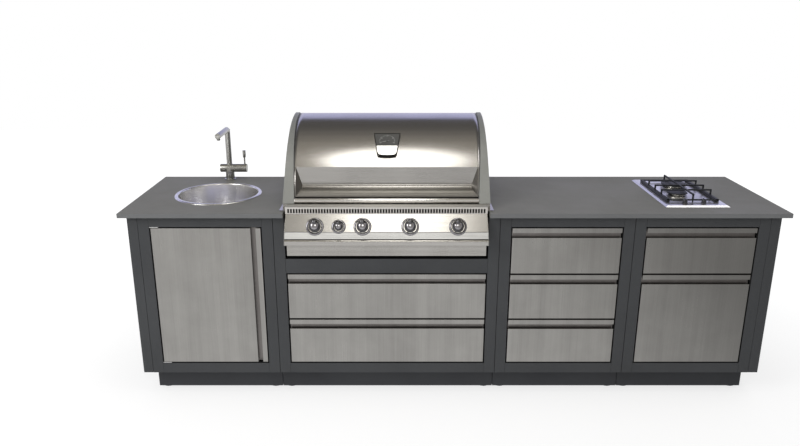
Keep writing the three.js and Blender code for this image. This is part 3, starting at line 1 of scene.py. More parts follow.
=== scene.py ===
# Outdoor kitchen island: finishes, detailed pieces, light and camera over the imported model.
# Everything is in metres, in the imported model's frame: +X along the row, +Y to the back, +Z up.
import json
import math

import bmesh
import bpy
from mathutils import Matrix, Vector


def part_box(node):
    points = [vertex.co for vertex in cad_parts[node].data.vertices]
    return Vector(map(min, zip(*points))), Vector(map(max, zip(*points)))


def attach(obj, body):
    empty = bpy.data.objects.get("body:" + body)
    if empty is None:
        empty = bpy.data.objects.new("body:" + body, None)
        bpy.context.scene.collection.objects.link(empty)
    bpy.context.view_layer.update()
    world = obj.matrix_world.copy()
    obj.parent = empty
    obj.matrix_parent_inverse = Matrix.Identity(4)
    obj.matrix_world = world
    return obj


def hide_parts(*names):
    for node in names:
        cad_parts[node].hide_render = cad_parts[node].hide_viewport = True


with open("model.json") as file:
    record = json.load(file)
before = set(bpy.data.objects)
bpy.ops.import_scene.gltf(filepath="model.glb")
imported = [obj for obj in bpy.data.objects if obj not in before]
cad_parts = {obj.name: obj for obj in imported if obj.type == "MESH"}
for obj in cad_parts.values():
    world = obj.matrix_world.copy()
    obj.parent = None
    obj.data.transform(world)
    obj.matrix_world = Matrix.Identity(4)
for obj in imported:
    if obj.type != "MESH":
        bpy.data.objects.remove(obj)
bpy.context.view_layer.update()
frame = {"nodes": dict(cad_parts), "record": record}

# Places that everything else is set out from
worktop_low, worktop_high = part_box("worktop")
front_edge = worktop_low.y
worktop_top = worktop_high.z
rail_low, rail_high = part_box("lid_handle_rail")
grill_x = (rail_low.x + rail_high.x) / 2


def at(x, y, z):
    """A point given in millimetres from the grill's middle, the worktop's front edge and the floor."""
    return Vector((grill_x + x / 1000, front_edge + y / 1000, z / 1000))


# Node helpers


def feed(tree, value, socket):
    """Feeds a socket from another socket, or sets it to a number or a colour."""
    if isinstance(value, (int, float)):
        socket.default_value = value
    elif isinstance(value, tuple):
        socket.default_value = (*value, 1)
    else:
        tree.links.new(value, socket)


def fill(tree, node, values):
    """Feeds several inputs of a node, which are named or numbered."""
    for key, value in values.items():
        feed(tree, value, node.inputs[key])
    return node


def node_in(tree, kind, inputs=None, **settings):
    """A new node. Its settings are made first, as some of them decide which inputs it has."""
    node = tree.nodes.new(kind)
    for key, value in settings.items():
        setattr(node, key, value)
    return fill(tree, node, inputs or {})


def ramp_in(tree, source, stops):
    """Colours over a value, from stops of place and colour. A new ramp has its first and last stop."""
    ramp = node_in(tree, "ShaderNodeValToRGB", {"Fac": source})
    elements = ramp.color_ramp.elements
    for element, (place, colour) in zip(elements, (stops[0], stops[-1])):
        element.position = place
        element.color = (*colour, 1)
    for place, colour in stops[1:-1]:
        elements.new(place).color = (*colour, 1)
    return ramp.outputs["Color"]


def noise_in(tree, coordinates, scale, detail, roughness=0.5):
    values = {"Vector": coordinates, "Scale": scale, "Detail": detail, "Roughness": roughness}
    return node_in(tree, "ShaderNodeTexNoise", values).outputs["Fac"]


def maths_in(tree, operation, first, second):
    return node_in(tree, "ShaderNodeMath", {0: first, 1: second}, operation=operation).outputs[0]


def times(tree, first, second):
    return maths_in(tree, "MULTIPLY", first, second)


def split_in(tree, vector):
    """The X, Y and Z of a vector, as outputs."""
    return node_in(tree, "ShaderNodeSeparateXYZ", {"Vector": vector}).outputs


def spread_in(tree, source, low, high, to_low=0, to_high=1):
    """A value taken from one range to another."""
    values = {"Value": source, "From Min": low, "From Max": high, "To Min": to_low, "To Max": to_high}
    return node_in(tree, "ShaderNodeMapRange", values).outputs["Result"]


def mix_in(tree, factor, first, second):
    """A mix of two colours."""
    values = {0: factor, 6: first, 7: second}
    return node_in(tree, "ShaderNodeMix", values, data_type="RGBA").outputs[2]


def mix_shaders(tree, factor, first, second):
    return node_in(tree, "ShaderNodeMixShader", {0: factor, 1: first, 2: second}).outputs["Shader"]


# Shared surface effects


def new_group(name, inputs, outputs):
    """A shader node group. Inputs have the kind of their value, outputs are numbers."""
    tree = bpy.data.node_groups.new(name, "ShaderNodeTree")
    for label, value in inputs.items():
        kind = "NodeSocketVector" if isinstance(value, tuple) else "NodeSocketFloat"
        tree.interface.new_socket(name=label, in_out="INPUT", socket_type=kind).default_value = value
    for label in outputs:
        tree.interface.new_socket(name=label, in_out="OUTPUT", socket_type="NodeSocketFloat")
    return tree, tree.nodes.new("NodeGroupInput"), tree.nodes.new("NodeGroupOutput")


def brushed_grain_group():
    """Long fine lines of brushed sheet, broad bands between them and hand marks over them."""
    tree, given, out = new_group(
        "BrushedGrain",
        {"Stretched": (0, 0, 0), "Plain": (0, 0, 0), "Line depth": 0.5, "Marks": 0.3},
        ("Tone", "Gloss", "Relief"),
    )
    fine = noise_in(tree, given.outputs["Stretched"], 1, 5, 0.65)
    bands = noise_in(tree, given.outputs["Stretched"], 0.09, 2, 0.5)
    marks = noise_in(tree, given.outputs["Plain"], 5, 4, 0.6)
    lines = spread_in(tree, fine, 0.3, 0.7)
    broad = spread_in(tree, bands, 0.3, 0.7)
    tone = maths_in(tree, "ADD", times(tree, lines, 0.5), times(tree, broad, 0.5))
    tone = times(tree, tone, given.outputs["Line depth"])
    smudge = times(tree, spread_in(tree, marks, 0.35, 0.7), given.outputs["Marks"])
    gloss = maths_in(tree, "ADD", times(tree, lines, 0.4), smudge)
    fill(tree, out, {"Tone": maths_in(tree, "ADD", tone, smudge), "Gloss": gloss, "Relief": fine})
    return tree


def speckle_group():
    """Small grains of two sizes over soft clouds, for stone, boards, castings and moulded plastic."""
    tree, given, out = new_group(
        "Speckle",
        {"Coordinates": (0, 0, 0), "Grain scale": 900, "Cloud scale": 4},
        ("Grain", "Clouds", "Relief"),
    )
    place, grain_scale = given.outputs["Coordinates"], given.outputs["Grain scale"]
    grain = noise_in(tree, place, grain_scale, 3, 0.6)
    clouds = noise_in(tree, place, given.outputs["Cloud scale"], 5, 0.55)
    cells = node_in(tree, "ShaderNodeTexVoronoi", {"Vector": place, "Scale": times(tree, grain_scale, 0.35)})
    pits = spread_in(tree, cells.outputs["Distance"], 0.05, 0.45)
    fill(tree, out, {"Grain": grain, "Clouds": clouds, "Relief": times(tree, grain, pits)})
    return tree


def settled_dust_group():
    """Patches of pale dust that lie where a surface faces up."""
    tree, given, out = new_group("SettledDust", {"Coordinates": (0, 0, 0), "Amount": 0.3}, ("Dust",))
    normal = node_in(tree, "ShaderNodeNewGeometry").outputs["Normal"]
    upwards = spread_in(tree, split_in(tree, normal)["Z"], 0.4, 1)
    noise = noise_in(tree, given.outputs["Coordinates"], 14, 6, 0.65)
    dust = times(tree, upwards, spread_in(tree, noise, 0.4, 0.75))
    fill(tree, out, {"Dust": times(tree, dust, given.outputs["Amount"])})
    return tree


brushed_grain = brushed_grain_group()
speckle = speckle_group()
settled_dust = settled_dust_group()
dust_tone = (0.5, 0.49, 0.46)
steel_dust = 0.12
line_height = 0.00004
grain_height = 0.0006


def use_group(tree, group, values):
    return node_in(tree, "ShaderNodeGroup", values, node_tree=group)


def start_material(name, metallic, coat=0):
    material = bpy.data.materials.new(name)
    material.use_nodes = True
    tree = material.node_tree
    shader = tree.nodes["Principled BSDF"]
    fill(tree, shader, {"Metallic": metallic, "Coat Weight": coat, "Coat Roughness": 0.1})
    place = node_in(tree, "ShaderNodeTexCoord").outputs["Object"]
    return material, tree, shader, place


def give_relief(tree, shader, height, strength, distance):
    values = {"Strength": strength, "Distance": distance, "Height": height}
    bump = node_in(tree, "ShaderNodeBump", values)
    feed(tree, bump.outputs["Normal"], shader.inputs["Normal"])


def brushed(name, light, dark, roughness, stretch, depth=0.6, marks=0.3, relief=0.12):
    """Brushed metal. The stretch is the number of lines per metre along X, Y and Z."""
    material, tree, shader, place = start_material(name, 1)
    mapping = node_in(tree, "ShaderNodeMapping")
    mapping.inputs["Scale"].default_value = stretch
    feed(tree, place, mapping.inputs["Vector"])
    lines = mapping.outputs["Vector"]
    settings = {"Stretched": lines, "Plain": place, "Line depth": depth, "Marks": marks}
    grain = use_group(tree, brushed_grain, settings)
    dust = use_group(tree, settled_dust, {"Coordinates": place, "Amount": steel_dust})
    colour = mix_in(tree, grain.outputs["Tone"], light, dark)
    colour = mix_in(tree, dust.outputs["Dust"], colour, dust_tone)
    gloss = spread_in(tree, grain.outputs["Gloss"], 0, 1, roughness - 0.05, roughness + 0.16)
    fill(tree, shader, {"Base Color": colour, "Roughness": gloss})
    give_relief(tree, shader, grain.outputs["Relief"], relief, line_height)
    return material


def grained(name, light, dark, roughness, grain_scale, metallic, relief, cloud_scale, dust, coat=0):
    """A solid finish with grain, soft clouds of tone and some dust."""
    material, tree, shader, place = start_material(name, metallic, coat)
    settings = {"Coordinates": place, "Grain scale": grain_scale, "Cloud scale": cloud_scale}
    grain = use_group(tree, speckle, settings)
    grains, clouds = [
        times(tree, spread_in(tree, grain.outputs[label], 0.3, 0.7), share)
        for label, share in (("Grain", 0.6), ("Clouds", 0.4))
    ]
    tone = maths_in(tree, "ADD", grains, clouds)
    settled = use_group(tree, settled_dust, {"Coordinates": place, "Amount": dust})
    pale = tuple(min(1, c * 1.5 + 0.05) for c in light)
    colour = mix_in(tree, settled.outputs["Dust"], mix_in(tree, tone, light, dark), pale)
    rough = spread_in(tree, grain.outputs["Clouds"], 0.3, 0.7, roughness - 0.07, roughness + 0.07)
    fill(tree, shader, {"Base Color": colour, "Roughness": rough})
    give_relief(tree, shader, grain.outputs["Relief"], relief, grain_height)
    return material


# Finishes
# Brushed: name, light, dark, roughness, lines, their depth, marks, relief.
# Grained: name, light, dark, roughness, grain scale, metallic, relief, cloud scale, dust, coat.
upright_lines = (240, 240, 3)
level_lines = (3, 600, 600)
knob_lines = (60, 60, 60)
steel_front = brushed("BrushedFront", (0.42, 0.41, 0.39), (0.28, 0.272, 0.26), 0.3, upright_lines)
# Near-black steel: painted shade for the lid's skirt, the thermometer plate's rim and the panel's folds.
shade_dark_steel = grained("ShadeDarkSteel", (0.03, 0.028, 0.026), (0.014, 0.013, 0.012), 0.5, 500, 0.6, 0.2, 8, 0.05)
# A darker copy of the fronts' brushed steel: painted shade for the grip channel, edges and back of the
# fronts.
shaded_channel_steel = brushed("ShadedChannelSheet", (0.25, 0.233, 0.225), (0.17, 0.158, 0.152), 0.4, upright_lines)
steel_grill = brushed("GrillSheet", (0.5, 0.485, 0.46), (0.32, 0.305, 0.285), 0.24, level_lines, 0.5, 0.35)
steel_panel = brushed(
    "PanelSheet", (0.52, 0.505, 0.48), (0.36, 0.345, 0.325), 0.2, level_lines, 0.3, 0.2, 0.05
)
steel_lid = brushed("LidSheet", (0.55, 0.535, 0.52), (0.38, 0.365, 0.35), 0.2, level_lines, 0.3, 0.2, 0.04)
steel_satin = brushed("SatinSteel", (0.48, 0.475, 0.45), (0.35, 0.345, 0.33), 0.22, (90, 90, 9), 0.4, 0.3)
steel_bright = brushed(
    "BrightSteel", (0.82, 0.81, 0.8), (0.62, 0.61, 0.6), 0.14, level_lines, 0.3, 0.25, 0.04
)
# A darker copy of the knobs' chrome for the grips: painted dark reflection.
shaded_grip_chrome = brushed("ShadedGripChrome", (0.17, 0.17, 0.18), (0.1, 0.1, 0.11), 0.12, knob_lines, 0.4, 0.3, 0.03)
chrome_knob = brushed("KnobChrome", (0.4, 0.39, 0.41), (0.26, 0.255, 0.27), 0.12, knob_lines, 0.4, 0.3, 0.03)
drawer_sheet = brushed("DrawerSheet", (0.6, 0.61, 0.62), (0.46, 0.47, 0.48), 0.34, (3, 200, 200), 0.4, 0.2)
cast_cap = grained("CastCap", (0.312, 0.317, 0.303), (0.23, 0.234, 0.221), 0.5, 900, 0.55, 0.3, 9, 0.1)
board = grained("AnthraciteBoard", (0.049, 0.052, 0.056), (0.038, 0.04, 0.043), 0.66, 1400, 0, 0.3, 3, 0.15)
# A darker copy of the anthracite board, with more dust, for the set-back plinths: its darkness is painted
# shade.
shaded_kick_board = grained("ShadedKickBoard", (0.0265, 0.029, 0.034), (0.019, 0.0205, 0.0245), 0.6, 1400, 0, 0.3, 3, 0.3)
stone = grained("WorktopStone", (0.166, 0.164, 0.148), (0.121, 0.12, 0.108), 0.6, 700, 0, 0.35, 2.2, 0.06)
shade_board = grained("ShadeBoard", (0.012, 0.012, 0.013), (0.008, 0.008, 0.009), 0.7, 1400, 0, 0.3, 3, 0)
# Darker copies of the lid's steel for the grip recess floor and back wall: painted shade.
shaded_recess_steel = brushed(
    "ShadedRecessSheet", (0.25, 0.24, 0.22), (0.19, 0.18, 0.17), 0.42, level_lines, 0.08, 0.1, 0.02
)
shaded_wall_steel = brushed(
    "ShadedRecessWall", (0.36, 0.35, 0.335), (0.28, 0.27, 0.26), 0.24, level_lines, 0.2, 0.15, 0.03
)
ledge_steel = brushed("LedgeSheet", (0.75, 0.73, 0.7), (0.62, 0.6, 0.57), 0.5, level_lines, 0.2, 0.15, 0.03)
# A darker copy of the panel's steel for the upright toe band: painted shade.
shaded_toe_steel = brushed(
    "ShadedToeSheet", (0.44, 0.435, 0.415), (0.36, 0.352, 0.337), 0.13, level_lines, 0.15, 0.1, 0.02
)
hob_steel = brushed("HobSheet", (0.8, 0.79, 0.8), (0.66, 0.65, 0.66), 0.3, level_lines, 0.2, 0.2, 0.03)
bowl_steel = brushed("BowlSheet", (0.76, 0.755, 0.75), (0.64, 0.635, 0.63), 0.24, (60, 60, 9), 0.2, 0.1, 0.04)
edge_stone = grained("EdgeStone", (0.168, 0.172, 0.174), (0.125, 0.128, 0.131), 0.6, 700, 0, 0.35, 2.2, 0.06)
# Near-black for the strip behind the vent slots: painted shade.
slot_shade_black = grained("SlotShadeBlack", (0.004, 0.004, 0.004), (0.002, 0.002, 0.002), 0.85, 800, 0, 0.2, 12, 0)
black_iron = grained("BlackIron", (0.016, 0.017, 0.021), (0.008, 0.009, 0.012), 0.5, 800, 0.1, 0.6, 12, 0.15)
black_plastic = grained(
    "KnobPlastic", (0.03, 0.03, 0.036), (0.018, 0.018, 0.022), 0.32, 1600, 0, 0.15, 12, 0.1, 0.3
)
waste_plastic = grained("WastePlastic", (0.75, 0.75, 0.73), (0.66, 0.66, 0.64), 0.4, 1200, 0, 0.15, 8, 0.2)
dial_dark = grained("DialField", (0.075, 0.075, 0.072), (0.05, 0.05, 0.048), 0.4, 1500, 0.3, 0.08, 20, 0, 0.3)
dial_scale = grained("DialScale", (0.34, 0.34, 0.325), (0.27, 0.27, 0.26), 0.4, 2000, 0, 0.05, 30, 0)
# Near-black: ink for marks and the hub, and painted shade in grooves, gaps and holes.
ink_and_shade_black = grained("InkAndShadeBlack", (0.03, 0.03, 0.032), (0.018, 0.018, 0.02), 0.4, 2000, 0, 0.05, 30, 0)

body_of_node = {n: b for b, nodes in frame["record"]["behaviour"]["bodies"].items() for n in nodes}


# Mesh helpers


def round_edges(piece, width, segments, angle):
    bevel = piece.modifiers.new("RoundedEdges", "BEVEL")
    bevel.width = width
    bevel.segments = segments
    bevel.limit_method = "ANGLE"
    bevel.angle_limit = math.radians(angle)
    bevel.harden_normals = True
    bevel.use_clamp_overlap = True


def add_object(name, data):
    thing = bpy.data.objects.new(name, data)
    bpy.context.scene.collection.objects.link(thing)
    return thing


def add_piece(name, bm, material, node, replaces=True, rounding=0, segments=2, angle=32):
    """Makes a piece from a bmesh. It rides with a node's body, and hides that node when it replaces it."""
    mesh = bpy.data.meshes.new(name)
    bmesh.ops.recalc_face_normals(bm, faces=bm.faces)
    bm.to_mesh(mesh)
    bm.free()
    mesh.shade_smooth()
    mesh.set_sharp_from_angle(angle=math.radians(angle))
    mesh.materials.append(material)
    piece = add_object(name, mesh)
    if rounding:
        round_edges(piece, rounding, segments, angle)
    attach(piece, body_of_node[node])
    if replaces:
        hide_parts(node)
    return piece


def add_detail(name, bm, material, node, rounding=0):
    """A piece that a node gets in addition to its own shape or what replaces it."""
    add_piece(name, bm, material, node, False, rounding)


def rounded_copy(node, material, width, segments=2, angle=25):
    """The node's own shape with its edges rounded."""
    bm = bmesh.new()
    bm.from_mesh(frame["nodes"][node].data)
    bmesh.ops.remove_doubles(bm, verts=bm.verts, dist=1e-5)
    bmesh.ops.dissolve_limit(bm, angle_limit=math.radians(0.4), verts=bm.verts, edges=bm.edges)
    return add_piece(node + "_detail", bm, material, node, True, width, segments, angle)


def finish_node(node, material):
    """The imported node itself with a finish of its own."""
    materials = frame["nodes"][node].data.materials
    materials.clear()
    materials.append(material)


def paint(piece, material, chosen):
    """Gives a further material to the faces that a test chooses."""
    mesh = piece.data
    mesh.materials.append(material)
    for face in mesh.polygons:
        if chosen(face):
            face.material_index = len(mesh.materials) - 1


def oblong(x0, y0, x1, y1):
    """The corners of an oblong, in order."""
    return [(x0, y0), (x1, y0), (x1, y1), (x0, y1)]


def ring_points(radius, z, segments, place):
    """A ring of points about the Z axis of place."""
    angles = [2 * math.pi * i / segments for i in range(segments)]
    return [place @ Vector((radius * math.cos(a), radius * math.sin(a), z)) for a in angles]


def add_loops(bm, loops, closed=True, whole=False):
    """Joins rings of points with quads. A ring of one point makes a cone to it."""
    rings = [[bm.verts.new(p) for p in loop] for loop in loops]
    pairs = list(zip(rings, rings[1:]))
    if whole:
        pairs.append((rings[-1], rings[0]))
    for a, b in pairs:
        count = max(len(a), len(b))
        for i in range(count):
            j = (i + 1) % count
            if len(a) == 1:
                bm.faces.new((a[0], b[i], b[j]))
            elif len(b) == 1:
                bm.faces.new((a[i], b[0], a[j]))
            else:
                bm.faces.new((a[i], b[i], b[j], a[j]))
    for ring in (rings[0], rings[-1]):
        if closed and not whole and len(ring) > 2:
            bm.faces.new(ring)


def add_plate(bm, place, outline, levels):
    """A flat form between levels on the Z axis of place, from an outline of X and Y pairs."""
    add_loops(bm, [[place @ Vector((x, y, z)) for x, y in outline] for z in levels])


def turn_profile(bm, profile, place, segments, whole=False):
    """A turned form: [radius, height] pairs about the Z axis of place."""
    loops = [
        [place @ Vector((0, 0, z))] if r == 0 else ring_points(r, z, segments, place)
        for r, z in profile
    ]
    add_loops(bm, loops, whole=whole)


def add_bar(bm, low, high):
    """A block between two corners."""
    (x0, y0, z0), (x1, y1, z1) = low, high
    add_plate(bm, Matrix(), oblong(x0, y0, x1, y1), (z0, z1))


def add_rod(bm, place, segments, radius, start, end, soft):
    """A solid rod along the Z axis of place. Its two rims are rounded."""
    core, steps = radius - soft, 4
    angles = [math.pi / 2 * i / steps for i in range(steps + 1)]
    profile = [(core + soft * math.sin(a), start + soft - soft * math.cos(a)) for a in angles]
    profile += [(core + soft * math.cos(a), end - soft + soft * math.sin(a)) for a in angles]
    turn_profile(bm, [(0, start), *profile, (0, end)], place, segments)


def over_middle(corners, z):
    """The point at a height over the middle of a box."""
    low, high = corners
    return Vector(((low.x + high.x) / 2, (low.y + high.y) / 2, z))


def facing(direction, point):
    """A frame at a point whose Z axis looks along a direction."""
    turn = Vector((0, 0, 1)).rotation_difference(Vector(direction)).to_matrix().to_4x4()
    return Matrix.Translation(point) @ turn


# Cabinets, worktop and fronts


def add_front(node):
    """A front in brushed sheet. Behind its face the sheet takes a darker copy of the steel, painted shade:
    grip channel, edges and back.
    """
    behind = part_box(node)[0].y + 0.003
    piece = rounded_copy(node, steel_front, 0.001)
    # Faces behind the front's face take the darker steel, painted shade.
    paint(piece, shaded_channel_steel, lambda face: face.center.y > behind)


def add_face_frame(node):
    """A face frame whose inner sides lie in the shade of the gaps."""
    piece = rounded_copy(node, board, 0.0006)
    paint(piece, shade_board, lambda face: abs(face.normal.y) < 0.7)


for cabinet in ("sink_cabinet", "grill_cabinet", "drawer_cabinet", "hob_cabinet"):
    finish_node(cabinet + "_carcass", board)
    add_face_frame(cabinet + "_frame")
    # Plinths take the darker board, painted shade under the frames.
    rounded_copy(cabinet + "_plinth", shaded_kick_board, 0.001)
for panel in ("end_panel_left", "end_panel_right"):
    rounded_copy(panel, board, 0.0012)
slab = rounded_copy("worktop", stone, 0.0018, 3)
paint(slab, edge_stone, lambda face: face.normal.y < -0.7)

for drawer in sorted(n.removesuffix("_box") for n in frame["nodes"] if n.endswith("_box")):
    add_front(drawer + "_front")
    rounded_copy(drawer + "_box", drawer_sheet, 0.0006)
add_front("cupboard_door")
for pivot in ("door_pivot_lower", "door_pivot_upper"):
    rounded_copy(pivot, steel_bright, 0.0004)

# Grill

for node, width in (("grill_body", 0.0006), ("grill_drip_tray", 0.0008)):
    rounded_copy(node, steel_grill, width)
finish_node("grill_burners", steel_satin)
rounded_copy("grill_cooking_grate", black_iron, 0.0012)


def add_vent_trim():
    """The strip with its row of slots, its ledge back to the rim and a black strip behind it, painted shade
    seen through the slots.
    """
    half, slots, pitch, slot = 446, 71, 12.35, 8.2
    front, rear, low, slot_low, slot_high, high = 25, 28, 893.3, 896, 915.5, 923
    ends = [-half]
    for i in range(slots):
        middle = (i - (slots - 1) / 2) * pitch
        ends += [middle - slot / 2, middle + slot / 2]
    ends.append(half)
    back = (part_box("grill_vent_trim")[1].y - front_edge) * 1000
    bm = bmesh.new()
    for x0, x1 in zip(ends[::2], ends[1::2]):
        add_bar(bm, at(x0, front, slot_low), at(x1, rear, slot_high))
    for z0, z1 in ((low, slot_low), (slot_high, high)):
        add_bar(bm, at(-half, front, z0), at(half, rear, z1))
    add_piece("grill_vent_trim_slotted", bm, ledge_steel, "grill_vent_trim")
    bm = bmesh.new()
    add_bar(bm, at(-half, rear, high - 3), at(half, back, high))
    add_detail("grill_vent_trim_ledge", bm, ledge_steel, "grill_vent_trim")
    # A black strip behind the slots stands for the shade inside the grill: painted shade.
    bm = bmesh.new()
    add_bar(bm, at(-437, 28.6, 894.5), at(437, 29.6, 916.5))
    add_detail("grill_vent_slot_shade", bm, slot_shade_black, "grill_vent_trim")


add_vent_trim()

# The lid in millimetres. Its points are back from the worktop's front edge and up from the floor.
lid_front = (80, 924)
lid_crease = (204, 1065)
lid_bend = (374, 1252)
lid_back = 640
lid_corner = 18
lid_pivot = (545, 1090)
rear_edge = 1130
cap_half = 465
band_low = 52
band_high = 21
cap_proud = 3


def arc_points(centre, radius_y, radius_z, start, end, steps):
    """Part of an ellipse between two angles in degrees."""
    angles = [math.radians(start + (end - start) * i / steps) for i in range(steps + 1)]
    return [(centre[0] + radius_y * math.cos(a), centre[1] + radius_z * math.sin(a)) for a in angles]


def bend_points(start, control, end, steps):
    """A bend that leaves its start and comes to its end along lines through the control point."""
    return [
        tuple((1 - t) ** 2 * a + 2 * (1 - t) * t * b + t ** 2 * c for a, b, c in zip(start, control, end))
        for t in (i / steps for i in range(steps + 1))
    ]


def lid_outline():
    """Side outline of the lid as (back, up) points: front, crown, rear corner and lower rear arc."""
    top = lid_bend[1]
    points = [lid_front]
    points += bend_points(lid_crease, lid_bend, (lid_back - lid_corner, top), 48)
    points += arc_points((lid_back - lid_corner, top - lid_corner), lid_corner, lid_corner, 90, 0, 6)[1:]
    points += arc_points(lid_pivot, lid_back - lid_pivot[0], lid_pivot[1] - lid_front[1], 0, -90, 20)
    return points


def inset_outline(points, distance):
    """An outline that runs clockwise, moved inwards."""
    moved = []
    for i, (y, z) in enumerate(points):
        before = Vector(points[i - 1])
        after = Vector(points[(i + 1) % len(points)])
        here = Vector((y, z))
        first = (here - before).normalized()
        second = (after - here).normalized()
        normal_1 = Vector((first.y, -first.x))
        normal_2 = Vector((second.y, -second.x))
        middle = (normal_1 + normal_2).normalized()
        reach = distance / max(0.3, middle.dot(normal_1))
        moved.append((y + middle.x * reach, z + middle.y * reach))
    return moved


def band_edge(z):
    """Half width of the lid between its end caps at a height."""
    share = (z - lid_front[1]) / (lid_bend[1] - lid_front[1])
    return cap_half - band_low + (band_low - band_high) * share


def sheet_half(z):
    """Half width of the lid's sheet at a height, a hair short of the end caps."""
    return band_edge(z) - 0.4


def add_lid_cap(node, side):
    """A cast end cap: closed outside, hollow inside, with the boss that takes the pivot pin."""
    wall, cover = 8, 6
    outline = lid_outline()
    rim = inset_outline(outline, wall)
    loops = [
        [at(side * cap_half, y, z) for y, z in outline],
        [at(side * band_edge(z), y, z) for y, z in outline],
        [at(side * band_edge(z), y, z) for y, z in rim],
        [at(side * (cap_half - cover), y, z) for y, z in rim],
    ]
    bm = bmesh.new()
    add_loops(bm, loops)
    place = facing((side, 0, 0), at(0, *lid_pivot))
    boss = [(0.0063, 0.432), (0.015, 0.432), (0.016, 0.433), (0.018, 0.4592), (0.0063, 0.4592)]
    turn_profile(bm, boss, place, 48, whole=True)
    add_piece(node + "_casting", bm, cast_cap, node, rounding=0.0028, segments=3)


def add_lid_shell():
    """The lid's sheet: crown and grip recess, which has a rounded deep line and mitred ends. The recess takes
    darker copies of the sheet's steel, painted shade.
    """
    skin = inset_outline(lid_outline(), cap_proud)
    crown = [point for point in skin[1:] if point[1] > rear_edge or point[0] < lid_bend[0]]
    crown.append((lid_back - cap_proud, rear_edge))
    lip, deep, crease = (107.6, 949), (204.5, 971.5), crown[0]
    lip_half, deep_half, crease_half = 410, 387, 416
    soft = 20
    start, end = [Vector(deep) + (Vector(far) - Vector(deep)).normalized() * soft for far in (lip, crease)]
    scoop = [lip, *bend_points(start, deep, end, 8), crease]
    bm = bmesh.new()
    rows = []
    for i, point in enumerate(scoop):
        far, half = (lip, lip_half) if i < len(scoop) // 2 else (crease, crease_half)
        share = (Vector(deep) - Vector(point)).length / (Vector(deep) - Vector(far)).length
        half = deep_half + (half - deep_half) * share
        rows.append([bm.verts.new(at(x, *point)) for x in (-half, half)])
    for a, b in zip(rows, rows[1:]):
        bm.faces.new((a[0], a[1], b[1], b[0]))
    outer = []
    for point in (lip, crease):
        edge = sheet_half(point[1])
        outer.append([bm.verts.new(at(x, *point)) for x in (-edge, edge)])
    for i in (0, 1):
        bm.faces.new([row[i] for row in rows])
        bm.faces.new((rows[0][i], rows[-1][i], outer[1][i], outer[0][i]))
    last = [outer[1][0], *rows[-1], outer[1][1]]
    for point in crown[1:]:
        edge = sheet_half(point[1])
        row = [bm.verts.new(at(x, *point)) for x in (-edge, -crease_half, crease_half, edge)]
        for i in range(3):
            bm.faces.new((last[i], last[i + 1], row[i + 1], row[i]))
        last = row
    shell = add_piece("lid_shell_sheet", bm, steel_lid, "lid_shell", angle=24)
    # Faces below the crease take the darker floor steel, and the back wall a less dark steel: painted shade
    # in the recess.
    floor_top, crease_level = at(0, 0, 966).z, at(0, *crease).z
    paint(shell, shaded_recess_steel, lambda face: face.center.z < crease_level)
    paint(shell, shaded_wall_steel, lambda face: (
        abs(face.normal.x) < 0.3 and floor_top <= face.center.z < crease_level
    ))
    thick = shell.modifiers.new("SheetThickness", "SOLIDIFY")
    thick.thickness = 0.0018
    thick.offset = -1
    thick.use_even_offset = True


def add_lid_skirt():
    """The strip behind the rail, below the recess, painted dark as shade."""
    half, front, low, high = 412.6, 112, 924.8, 947.8
    bm = bmesh.new()
    add_bar(bm, at(-half, front, low), at(half, front + 2, high))
    add_detail("lid_shell_skirt", bm, shade_dark_steel, "lid_shell", rounding=0.0004)


def add_handle_rail():
    half = sheet_half(935)
    bm = bmesh.new()
    place = facing((1, 0, 0), at(0, 93, 935.2))
    add_rod(bm, place, 48, 0.011, -half / 1000, half / 1000, 0.0012)
    add_piece("lid_handle_rail_bar", bm, steel_bright, "lid_handle_rail")


for node, side in (("lid_cap_left", -1), ("lid_cap_right", 1)):
    add_lid_cap(node, side)
add_lid_shell()
add_lid_skirt()
add_handle_rail()

# The thermometer's dial on its plate, a quarter of the way up the crown's bend
crown_line = bend_points(lid_crease, lid_bend, (lid_back - lid_corner, lid_bend[1]), 1000)
before, gauge_middle, after = crown_line[248:251]
gauge_tilt = math.atan2(after[1] - before[1], after[0] - before[0])
lid_radius = 0.573
gauge_place = Matrix.Translation(at(0, *gauge_middle)) @ Matrix.Rotation(gauge_tilt, 4, "X")
dial_place = gauge_place @ Matrix.Translation((0, 0.023, 0.0045))


def gauge_sides(inset):
    """Half width and height of points down one side of the plate, in the plate's frame."""
    top, low = 62 - inset, 46 - inset
    high, base = 72 - inset, -52 + inset
    side = [(top + (low - top) * i / 6, high + (base - high) * i / 6) for i in range(7)]
    return [(x / 1000, y / 1000) for x, y in [*side, (low - 6, base - 11)]]


def gauge_outline(inset):
    """The plate's outline: wide at the top, with a sagging lower edge."""
    side = gauge_sides(inset)
    half, low = side[-1]
    sag = [(half * i / 4, low - 0.0045 * (1 - (i / 4) ** 2)) for i in range(-3, 4)]
    return [(-x, y) for x, y in side] + sag + side[::-1]


def lid_dip(y):
    """How far the lid's curve lies under the plate's frame, and a little into the lid's sheet."""
    return -y * y / (2 * lid_radius) - 0.0006


